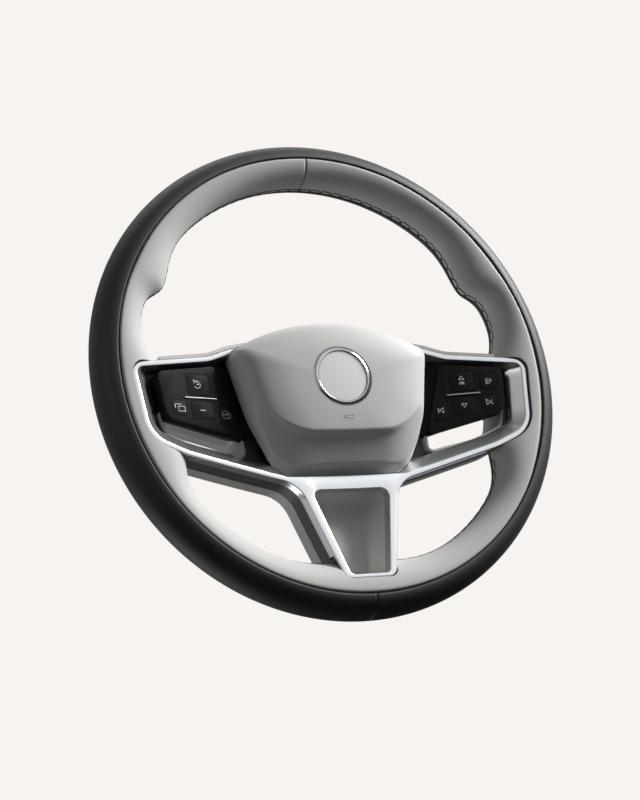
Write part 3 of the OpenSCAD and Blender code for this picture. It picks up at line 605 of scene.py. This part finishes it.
def lower(a, b, soft):
    """The smaller of two heights, with the edge where they meet rounded."""
    share = min(max(0.5 + 0.5 * (b - a) / soft, 0), 1)
    return b + (a - b) * share - soft * share * (1 - share)


def under_wall(p, share, lift):
    """Height of the dome at p, on the ring of the given share of the outline: towards the lap its
    wall leans back from the outline."""
    out = p.xy - pad_centre.xy
    low = min(max((-out.y / out.length - 0.5) / 0.35, 0), 1)
    wall = pad_edge + wall_slope * out.length * (1 / share - 1)
    return lift + (min(lower(lift, wall, 0.8), lift) - lift) * low * low * (3 - 2 * low)


def scooped(p):
    """Height of the dome at p with its lower edge scooped out: a rounded step, then a ledge that
    falls away towards the lap."""
    run = chin_top + 1.4 * (p.x / 50) ** 2 + 7 * (max(abs(p.x) - 28, 0) / 20) ** 2 - p.y
    if run <= 0:
        return p.z
    (r0, z0), (r1, z1) = next(pair for pair in zip(chin_floor, chin_floor[1:]) if run <= pair[1][0])
    return lower(p.z, pad_top + z0 + (z1 - z0) * (run - r0) / (r1 - r0), 1.1)


def dome():
    bm = bmesh.new()
    edges = ring(bm, pad_corners, pad_edge, steps=24, side=1.2)
    flow = through(pad_profile, 10)
    for (s, h), (s2, h2) in zip(flow, flow[1:-1]):
        grown = bmesh.ops.extrude_edge_only(bm, edges=edges)["geom"]
        verts = [g for g in grown if isinstance(g, bmesh.types.BMVert)]
        edges = [g for g in grown if isinstance(g, bmesh.types.BMEdge)]
        lift = pad_edge + (pad_top - pad_edge) * h2
        bmesh.ops.scale(bm, vec=(s2 / s, s2 / s, 1), space=Matrix.Translation(-pad_centre), verts=verts)
        for v in verts:
            v.co.z = max(under_wall(v.co, s2, lift), pad_edge)
    tip = bmesh.ops.edgeloop_fill(bm, edges=edges)["faces"]
    bmesh.ops.poke(bm, faces=tip)
    for v in bm.verts:
        v.co.z = scooped(v.co)
    return bm


bm = dome()
bmesh.ops.recalc_face_normals(bm, faces=bm.faces)
if bm.faces[0].normal.dot(bm.faces[0].calc_center_median() - Vector((0, -12, 45))) < 0:
    bmesh.ops.reverse_faces(bm, faces=bm.faces)
bmesh.ops.solidify(bm, geom=bm.faces[:], thickness=pad_wall)
# Soft-touch thermoplastic with a fine leather-like emboss of about 0.5 mm: matte, slightly waxy.
pad_skin = surface("light grey soft-touch polyolefin", "#BEBEBB", "#C6C6C3", 0.52, 0.04, 0.8, 0.02, IOR=1.4)
pad = piece(bm, "horn_pad_cover", "horn_pad", pad_skin, ["airbag_cover"], sharp=60)
tool = bmesh.new()
bmesh.ops.create_cone(
    tool, cap_ends=True, segments=128, radius1=badge_r + 0.5, radius2=badge_r + 0.5, depth=20,
    matrix=Matrix.Translation((0, badge_y, badge_floor + 10)),
)
cut(pad, tool, sharp=60)

# Horn symbol: a small horn, raised by the mould on the skin below the badge.

symbol_y = -38.2


def dropped(x, y, lift):
    """Point on the horn pad under x, y, raised by lift."""
    hit = pad_tree.ray_cast(Vector((x, y, 90)), Vector((0, 0, -1)))[0]
    return Vector((x, y, hit.z + lift))


bm = bmesh.new()
bm.from_mesh(pad.data)
to_face = (Matrix.Scale(0.001, 4) @ Matrix.Rotation(math.radians(90), 4, "X")).inverted()
bmesh.ops.transform(bm, matrix=to_face, verts=bm.verts)
pad_tree = BVHTree.FromBMesh(bm)
bm.free()
horn_strokes = [
    [(-3.9, 1.5), (-3.9, -1.5)],
    [(-3.9, 0.6), (-2.1, 0.6), (0.1, 0.8), (1.8, 1.3), (3, 2.1)],
    [(-3.9, -0.6), (-2.1, -0.6), (0.1, -0.8), (1.8, -1.3), (3, -2.1)],
    [(3, 2.1), (3.4, 1.1), (3.6, 0), (3.4, -1.1), (3, -2.1)],
    [(-1.7, -0.7), (-2.0, -1.4), (-1.4, -1.9), (0.3, -1.9), (0.8, -1.5), (0.6, -0.9)],
]
raised = [[dropped(x, symbol_y + y, 0.02) for x, y in through(stroke, 4)] for stroke in horn_strokes]
tubes(raised, 0.2, "horn_symbol", "horn_pad", pad_skin)

# Badge: a plain round badge in two pieces, a polished chrome ring round a satin metal disc, stuck
# into a recess of the horn pad.


def turned(profile, name, body, finish, replaced=(), centre=(0, 0), steps=160):
    """Solid of revolution about an axis to the driver: profile holds [radius, height]."""
    bm = bmesh.new()
    verts = [bm.verts.new((r, 0, z)) for r, z in profile]
    for pair in zip(verts, verts[1:]):
        bm.edges.new(pair)
    if profile[0][0] > 0:
        bm.edges.new((verts[-1], verts[0]))
    bmesh.ops.spin(
        bm, geom=bm.verts[:] + bm.edges[:], axis=(0, 0, 1), cent=(0, 0, 0), dvec=(0, 0, 0),
        angle=math.tau, steps=steps, use_merge=True,
    )
    bmesh.ops.remove_doubles(bm, verts=bm.verts, dist=0.0005)
    bmesh.ops.translate(bm, vec=(*centre, 0), verts=bm.verts)
    return piece(bm, name, body, finish, replaced, sharp=50)


badge_low = badge_floor + 0.1
ring_inner = badge_r - 3.1
ring_top = badge_low + 2.2
bevel = [
    (badge_r, badge_low + 0.7), (badge_r - 0.1, badge_low + 0.95), (badge_r - 0.4, badge_low + 1.2),
    (ring_inner + 0.8, ring_top - 0.08), (ring_inner + 0.5, ring_top), (ring_inner + 0.25, ring_top - 0.1),
    (ring_inner, badge_low + 1.7),
]
# Bright chrome on ABS: mirror gloss, only faint plating waviness.
bright_chrome = surface("bright chrome plate", "#D2D4D6", "#DCDEDF", 0.12, 0.015, 2, 0.004, Metallic=1.0)
turned(
    [(ring_inner, badge_low), (badge_r, badge_low)] + bevel,
    "badge_chrome_ring", "horn_pad", bright_chrome, ["badge_ring"], (0, badge_y),
)
# Satin metal disc, fine circular brushing under a clear coat.
satin_disc = surface("satin metal badge disc", "#BCBEBE", "#C8CACA", 0.42, 0.04, 0.7, 0.005, Metallic=0.35)
disc_r = ring_inner - 0.15
turned(
    [(0, badge_low), (disc_r, badge_low), (disc_r, badge_low + 1.05), (disc_r - 0.35, badge_low + 1.28),
     (disc_r - 1, badge_low + 1.3), (0, badge_low + 1.3)],
    "badge_satin_disc", "horn_pad", satin_disc, ["badge_disc"], (0, badge_y),
)

# Keypads: black gloss-and-satin moulded faces on black housings, one in each loop. Each face has
# openings for its keys, which are pushed up from below by rubber domes on the circuit board.

pod_origin = Vector((94.2, 0, rim_z + 2.2))
pod_tilt = math.radians(12.1)
face_t = 2.2
key_gap = 0.25
key_r = 2.2


def on_pod(bm, side):
    """Moves a shape drawn on the flat of a keypad face to its place, right 1 or left -1."""
    bmesh.ops.transform(
        bm, matrix=Matrix.Translation(pod_origin) @ Matrix.Rotation(-pod_tilt, 4, "Y"), verts=bm.verts
    )
    if side < 0:
        bmesh.ops.scale(bm, vec=(-1, 1, 1), verts=bm.verts)


def on_face(corners):
    return [[(c[0] - pod_origin.x) / math.cos(pod_tilt), *c[1:]] for c in corners]


def key_box(x0, y0, x1, y1):
    return on_face([[x1, y0, key_r], [x1, y1, key_r], [x0, y1, key_r], [x0, y0, key_r]])


def panel(corners, openings, low, high, edge, hole_edge=0.12):
    """Plate with a rounded front edge and openings."""
    bm = bmesh.new()
    outer = [ring(bm, corners, low)]
    for d, h in ((0, 1), (0.1, 0.5), (0.4, 0.12), (1, 0)):
        outer.append(ring(bm, corners, high - edge * h, edge * d))
    tops, lows = [outer[-1]], [outer[0]]
    walls(bm, outer)
    for hole in openings:
        heights = ((low, 0), (high - hole_edge, 0), (high, hole_edge))
        rings = [ring(bm, hole, z, -key_gap - d) for z, d in heights]
        walls(bm, rings)
        tops.append(rings[-1])
        lows.append(rings[0])
    cap(bm, *tops)
    cap(bm, *lows)
    return bm


face_corners = on_face([[74.5, -46.5, 3], [136.6, -33.5, 9], [140.6, 1.7, 5], [92.5, 8.3, 3]])
key_shapes = {
    "up": key_box(98.5, -14.6, 117, 1),
    "down": key_box(97.5, -33, 116, -19.4),
    "inner": on_face([[93, -37, key_r], [93, -20, key_r], [86.5, -20, key_r], [80.5, -37, key_r]]),
    "outer": on_face([[131, -30.6, 4], [132.5, -19.4, key_r], [120, -19.4, key_r], [120, -30.6, key_r]]),
    "voice": on_face([[134, -14.6, key_r], [135.2, -3, 3], [121.5, -1.2, key_r], [121.5, -14.6, key_r]]),
}
keys_on = {"left": ["up", "down", "inner", "outer"], "right": ["up", "down", "inner", "outer", "voice"]}
# Black ABS-PC with a satin spark-eroded front, drawn a little coarser than its 0.1 mm grain.
black_satin = surface(
    "satin black ABS-PC", "#151616", "#191A1A", 0.45, 0.05, 0.5, 0.012,
    IOR=1.3, Specular_IOR_Level=0.12,
)
black_key = surface(
    "satin black key cap", "#161717", "#1A1B1B", 0.45, 0.05, 0.5, 0.012, IOR=1.3, Specular_IOR_Level=0.12
)
for hand, side in (("left", -1), ("right", 1)):
    copied(f"{hand}_keypad_housing", f"{hand}_keypad_shell", "wheel", black_satin)
    bm = panel(face_corners, [key_shapes[k] for k in keys_on[hand]], -face_t, 0, 0.6)
    on_pod(bm, side)
    piece(bm, f"{hand}_keypad_front", "wheel", black_satin, [f"{hand}_keypad_face"])
    for key in keys_on[hand]:
        bm = panel(key_shapes[key], [], -face_t - 0.3, 0.04, 0.1)
        flange = panel(inset(key_shapes[key], -0.8), [], -face_t - 1.2, -face_t - 0.2, 0.1)
        mesh = bpy.data.meshes.new("flange")
        flange.to_mesh(mesh)
        flange.free()
        bm.from_mesh(mesh)
        bpy.data.meshes.remove(mesh)
        on_pod(bm, side)
        body = f"{hand}_{key}_key"
        piece(bm, f"{body}_cap", body, black_key, [body])

# Ridges: a thin satin metal strip between the upper and lower keys of each keypad, pressed into
# the face so that a thumb finds its place.

strip = on_face([[120.4, -17.5, 0.4], [120.4, -16.6, 0.4], [94.2, -16.6, 0.4], [94.2, -17.5, 0.4]])
# Brushed aluminium in shade: mid grey, soft gloss.
strip_metal = surface("satin aluminium strip", "#8E9193", "#9A9DA0", 0.35, 0.04, 0.4, 0.006, Metallic=0.8)
for hand, side in (("left", -1), ("right", 1)):
    bm = panel(strip, [], 0.05, 0.75, 0.25)
    on_pod(bm, side)
    piece(bm, f"{hand}_ridge_strip", "wheel", strip_metal, [f"{hand}_ridge"])

# Key symbols: white two-part ink printed on the caps, clear-coated: plain signs for volume and
# track, speed, distance and steering aid, and voice.

ink_top, ink_t = 0.05, 0.03
stroke_w = 0.36


def inked(bm, faces):
    """Gives flat printed faces the thickness of the ink."""
    grown = bmesh.ops.extrude_face_region(bm, geom=faces)["geom"]
    tops = [g for g in grown if isinstance(g, bmesh.types.BMVert)]
    bmesh.ops.translate(bm, vec=(0, 0, ink_t), verts=tops)


def bar(bm, a, b, width=stroke_w):
    """Printed stroke with square ends."""
    a, b = Vector(a), Vector(b)
    along = (b - a).normalized()
    across = Vector((-along.y, along.x)) * width / 2
    corners = [a - across, b - across, b + across, a + across]
    inked(bm, [bm.faces.new([bm.verts.new((p.x, p.y, ink_top)) for p in corners])])


def line(bm, points, width=stroke_w, closed=False):
    """Printed line of strokes: its outline is mitred at each corner."""
    count = len(points)
    pts = [Vector(p) for p in points]
    sides = []
    for i, p in enumerate(pts):
        back = (p - pts[i - 1]).normalized() if closed or i else None
        on = (pts[(i + 1) % count] - p).normalized() if closed or i < count - 1 else None
        back, on = back or on, on or back
        m, n = Vector((-back.y, back.x)), Vector((-on.y, on.x))
        go = (m + n) / (1 + m.dot(n)) * width / 2
        sides.append((bm.verts.new((*(p - go), ink_top)), bm.verts.new((*(p + go), ink_top))))
    pairs = list(zip(sides, sides[1:] + sides[:1])) if closed else list(zip(sides, sides[1:]))
    inked(bm, [bm.faces.new((a[0], b[0], b[1], a[1])) for a, b in pairs])


def arc(cx, cy, r, start, finish, steps=16):
    return [
        (cx + r * math.cos(math.radians(start + (finish - start) * k / steps)),
         cy + r * math.sin(math.radians(start + (finish - start) * k / steps)))
        for k in range(steps + 1)
    ]


def written(bm, text, size, cx, cy):
    """Generic letters as a flat print."""
    data = bpy.data.curves.new("letters", "FONT")
    data.body = text
    data.size = size
    data.align_x = "CENTER"
    data.align_y = "CENTER"
    data.offset = 0.06
    holder = bpy.data.objects.new("letters", data)
    flat = bpy.data.meshes.new_from_object(holder)
    bpy.data.objects.remove(holder)
    flat.transform(Matrix.Translation((cx, cy, ink_top)))
    before = set(bm.faces)
    bm.from_mesh(flat)
    faces = [f for f in bm.faces if f not in before]
    bmesh.ops.remove_doubles(bm, verts=list({v for f in faces for v in f.verts}), dist=0.001)
    inked(bm, [f for f in bm.faces if f not in before and f.is_valid])


def up_sign(bm):
    line(bm, [(-2.05, 1), (2.05, 1), (0, 3.8)], closed=True)
    written(bm, "OK", 2.9, 0, -2)


def down_sign(bm):
    line(bm, [(-2.05, 1.5), (0, -1.5), (2.05, 1.5)], closed=True)


def previous_sign(bm):
    line(bm, [(2.1, 2), (2.1, -2), (-1.1, 0)], closed=True)
    bar(bm, (-2, -2.1), (-2, 2.1))


def next_sign(bm):
    line(bm, [(-2.2, -2.1), (-2.2, 2.1), (1.2, 0)], closed=True)
    bar(bm, (2.1, -2.2), (2.1, 2.2))


def voice_sign(bm):
    line(bm, arc(-0.7, 0.7, 1.1, 20, 340, 20))
    line(bm, [(-1.7, -0.5), (-1.8, -2.1), (0.5, -2.1), (0.5, -1)])
    line(bm, arc(-0.4, 0.3, 2, -28, 28, 8), 0.35)
    line(bm, arc(-0.4, 0.3, 2.9, -32, 32, 8), 0.35)


def resume_sign(bm):
    line(bm, arc(0, 0, 2.7, -150, 118, 24))
    line(bm, [(-3, 0.9), (-1.4, 2.4), (-3.2, 3.5)])
    bar(bm, (0, 0), (0, 1.7))
    bar(bm, (-0.2, 0), (1.5, 0))


def distance_sign(bm):
    line(bm, [(-1.5, -2.4), (4, -2.4), (4, 1.2), (-1.5, 1.2)], closed=True)
    line(bm, [(-4, -0.4), (-4, 2.8), (1.8, 2.8)])


def minus_sign(bm):
    bar(bm, (-2.2, 0), (2.2, 0), 0.5)


def steering_sign(bm):
    line(bm, arc(-0.6, 0, 2.9, 0, 345, 28), closed=True)
    line(bm, arc(1.6, -0.9, 2.2, -120, 120, 16), 0.35)
    bar(bm, (-3.4, 0.1), (-1.4, 0.1))
    bar(bm, (0.2, 0.1), (2.1, 0.1))
    line(bm, arc(-0.6, 0, 0.8, 0, 345, 12), closed=True)


# Matt white screen-printing ink.
ink = surface("white printing ink", "#E6E6E4", "#F0F0EE", 0.5, 0.05, 0.5, 0.005)
signs = {
    "right_up_key": (up_sign, 107.6, -6.4),
    "right_down_key": (down_sign, 106.4, -26.2),
    "right_voice_key": (voice_sign, 128.0, -8.2),
    "right_inner_key": (previous_sign, 87.6, -28.4),
    "right_outer_key": (next_sign, 126.0, -25.0),
    "left_up_key": (resume_sign, -108.5, -6.8),
    "left_outer_key": (distance_sign, -125.2, -25.2),
    "left_down_key": (minus_sign, -106.4, -26.1),
    "left_inner_key": (steering_sign, -87.4, -28.4),
}
for body, (draw, x, y) in signs.items():
    bm = bmesh.new()
    draw(bm)
    side = 1 if x > 0 else -1
    if side < 0:
        bmesh.ops.scale(bm, vec=(-1, 1, 1), verts=bm.verts)
    bmesh.ops.translate(bm, vec=((abs(x) - pod_origin.x) / math.cos(pod_tilt), y, 0), verts=bm.verts)
    on_pod(bm, side)
    piece(bm, f"{body}_sign", body, ink, sharp=20)

# Horn springs: coils of oiled steel wire round the guide pins, seated on the hub plate. In the wheel they
# shorten by the pad's travel when it is pressed; here they are copied once from the CAD node in one fixed
# shape.

spring_steel = surface("oiled spring steel", "#5E6164", "#6C6F72", 0.35, 0.08, 0.8, 0.01, Metallic=1.0)
springs = copied("horn_springs", "horn_springs_wound", "wheel", spring_steel)
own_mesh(springs)

# Pieces that stay as built: armature, foam, screws, airbag module and circuit boards.
# They show only from behind, through the hub hole, or where the cover is open.

cast_magnesium = surface("die-cast magnesium", "#8E9092", "#9C9EA0", 0.55, 0.1, 1.2, 0.08, Metallic=0.7)
polyurethane = surface("moulded polyurethane foam", "#343436", "#3E3E40", 0.85, 0.05, 0.8, 0.1)
zinc_steel = surface("zinc-plated steel", "#9DA0A4", "#ACAFB2", 0.32, 0.08, 1.5, 0.01, Metallic=1.0)
phosphor_bronze = surface("phosphor bronze", "#B07A40", "#BE8A4E", 0.35, 0.06, 1, 0.008, Metallic=1.0)
airbag_nylon = surface("woven airbag nylon", "#CBC6B8", "#D8D4C8", 0.8, 0.05, 0.9, 0.12)
natural_acetal = surface("natural acetal", "#DAD6CB", "#E6E2D8", 0.4, 0.05, 1, 0.01)
yellow_nylon = surface("yellow glass-filled nylon", "#C79A2A", "#D4A836", 0.5, 0.06, 0.8, 0.03)
board_laminate = surface("green circuit laminate", "#1F5C33", "#2A6E40", 0.35, 0.06, 0.7, 0.02)
kept = {
    "armature": cast_magnesium,
    "rim_ring": zinc_steel,
    "rim_foam": polyurethane,
    "cover_screws": zinc_steel,
    "keypad_screws": zinc_steel,
    "guide_pins": zinc_steel,
    "airbag_housing": zinc_steel,
    "gas_inflator": zinc_steel,
    "inflator_nuts": zinc_steel,
    "contact_plates": phosphor_bronze,
    "contact_studs": phosphor_bronze,
    "airbag_cushion": airbag_nylon,
    "pin_bushes": natural_acetal,
    "hub_connector": yellow_nylon,
    "left_circuit_board": board_laminate,
    "right_circuit_board": board_laminate,
}
for node, finish in kept.items():
    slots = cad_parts[node].data.materials
    slots.clear()
    slots.append(finish)

# Studio: pale seamless backdrop, one key lamp above and to the right, three weak lamps above, at
# the left and low behind, and a dim room. Metal and leather reflect a bright wall in front, grey
# ones at the left, right and above, and the backdrop.

floor_z = -1.3
bm = bmesh.new()
bmesh.ops.create_grid(bm, x_segments=1, y_segments=1, size=6)
bmesh.ops.translate(bm, vec=(0, 0, floor_z), verts=bm.verts)
mesh = bpy.data.meshes.new("studio_floor")
bm.to_mesh(mesh)
bm.free()
studio_floor = bpy.data.objects.new("studio_floor", mesh)
bpy.context.scene.collection.objects.link(studio_floor)
# Painted studio floor, warm white.
floor_paint = surface("warm white floor paint", "#F1EDEA", "#F5F1EE", 0.8, 0.03, 8, 0.05, cloud_mm=900)
mesh.materials.append(floor_paint)
# It throws little light back on the wheel: other pieces see it as dark grey carpet.
tree = floor_paint.node_tree
shader = tree.nodes["Principled BSDF"]
pale = shader.inputs["Base Color"].links[0].from_socket
eye = add(tree, "ShaderNodeLightPath").outputs["Is Camera Ray"]
paint = add(tree, "ShaderNodeMix", {0: eye, 6: linear("#3A3A3A"), 7: pale}, data_type="RGBA").outputs[2]
tree.links.new(paint, shader.inputs["Base Color"])
# The camera sees it as pale as the backdrop, a little darker where the wheel shades it.
backdrop = "#F7F3F0"
shader.inputs["Emission Color"].default_value = linear(backdrop)
haze = add(tree, "ShaderNodeMath", {0: eye, 1: 0.85}, operation="MULTIPLY").outputs[0]
tree.links.new(haze, shader.inputs["Emission Strength"])

room_air = "#F2F4F8"
room_low, room_high = 0.05, 0.14
backdrop_level = 0.32
walls_lit = [
    ((0.32, -0.9, 0.3), 0.65, 0.92, 0.95), ((-0.82, -0.47, 0.3), 0.6, 0.95, 0.22),
    ((0.87, 0.38, 0.3), 0.7, 0.95, 0.25), ((0.2, -0.3, 0.93), 0.75, 0.98, 0.35),
]
world = bpy.data.worlds.new("studio")
bpy.context.scene.world = world
world.use_nodes = True
tree = world.node_tree
rays = add(tree, "ShaderNodeLightPath")
seen = add(
    tree, "ShaderNodeMath",
    {0: rays.outputs["Is Camera Ray"], 1: rays.outputs["Is Transmission Ray"]}, operation="MAXIMUM",
).outputs[0]
heading = add(tree, "ShaderNodeTexCoord").outputs["Generated"]
room = add(
    tree, "ShaderNodeMapRange",
    {
        "Value": add(tree, "ShaderNodeSeparateXYZ", {0: heading}).outputs["Z"],
        "From Min": -0.6, "From Max": 0.7, "To Min": room_low, "To Max": room_high,
    },
).outputs["Result"]
behind = add(
    tree, "ShaderNodeVectorMath", {0: heading, 1: Vector((-0.1, 0.99, -0.1))}, operation="DOT_PRODUCT"
).outputs["Value"]
behind = add(
    tree, "ShaderNodeMapRange",
    {"Value": behind, "From Min": 0.05, "From Max": 0.55, "To Max": backdrop_level},
    interpolation_type="SMOOTHSTEP",
).outputs["Result"]
room = add(tree, "ShaderNodeMath", {0: room, 1: behind}, operation="ADD").outputs[0]
mirrored_room = room
for towards, start, full, strength in walls_lit:
    facing = add(
        tree, "ShaderNodeVectorMath", {0: heading, 1: Vector(towards).normalized()}, operation="DOT_PRODUCT"
    ).outputs["Value"]
    patch = add(
        tree, "ShaderNodeMapRange",
        {"Value": facing, "From Min": start, "From Max": full, "To Min": 0.0, "To Max": strength},
        interpolation_type="SMOOTHSTEP",
    ).outputs["Result"]
    mirrored_room = add(tree, "ShaderNodeMath", {0: mirrored_room, 1: patch}, operation="ADD").outputs[0]
lit = add(
    tree, "ShaderNodeMix", {0: rays.outputs["Is Glossy Ray"], 2: room, 3: mirrored_room}, data_type="FLOAT"
).outputs[0]
level = add(tree, "ShaderNodeMix", {0: seen, 2: lit, 3: 1.0}, data_type="FLOAT").outputs[0]
tint = add(
    tree, "ShaderNodeMix", {0: seen, 6: linear(room_air), 7: linear(backdrop)}, data_type="RGBA"
).outputs[2]
background = tree.nodes["Background"]
tree.links.new(tint, background.inputs["Color"])
tree.links.new(level, background.inputs["Strength"])


def lamp(name, place, aim, size, power):
    data = bpy.data.lights.new(name, "AREA")
    data.shape = "RECTANGLE"
    data.size, data.size_y = size
    data.energy = power
    made = bpy.data.objects.new(name, data)
    made.location = place
    made.rotation_mode = "QUATERNION"
    made.rotation_quaternion = (Vector(aim) - Vector(place)).to_track_quat("-Z", "Y")
    bpy.context.scene.collection.objects.link(made)


lamp("key_lamp", (1.34, -0.57, 0.91), (0, 0, 0), (0.6, 0.6), 56)
lamp("top_lamp", (0.1, 0.5, 1.6), (0, 0, 0), (1.4, 0.8), 8)
lamp("left_lamp", (-1.5, -0.6, 0.2), (0, 0, 0), (1, 1), 2.5)
lamp("rear_lamp", (-0.7, 1.1, -1.1), (0, 0, 0), (1.2, 1.2), 9)

# Camera: a long lens from the driver's lower left, rolled with the wheel as in the photograph.

azimuth, elevation, roll = (math.radians(a) for a in (-26.64, -17.56, -9.28))
distance = 1.5
focal_px, long_px = 2022.5, 800
shift_px = (9.8, -23.4)
back = Vector(
    (math.sin(azimuth) * math.cos(elevation), -math.cos(azimuth) * math.cos(elevation), math.sin(elevation))
)
level_right = Vector((0, 0, 1)).cross(back).normalized()
level_up = back.cross(level_right)
right = level_right * math.cos(roll) + level_up * math.sin(roll)
up = level_up * math.cos(roll) - level_right * math.sin(roll)
data = bpy.data.cameras.new("camera")
data.sensor_width = 36
data.lens = focal_px * data.sensor_width / long_px
data.shift_x = -shift_px[0] / long_px
data.shift_y = shift_px[1] / long_px
camera = bpy.data.objects.new("camera", data)
camera.matrix_world = Matrix.Translation(back * distance + Vector((0, -rim_z / 1000, 0))) @ Matrix(
    (right, up, back)
).transposed().to_4x4()
bpy.context.scene.collection.objects.link(camera)
bpy.context.scene.camera = camera
bpy.context.scene.view_settings.view_transform = "Standard"
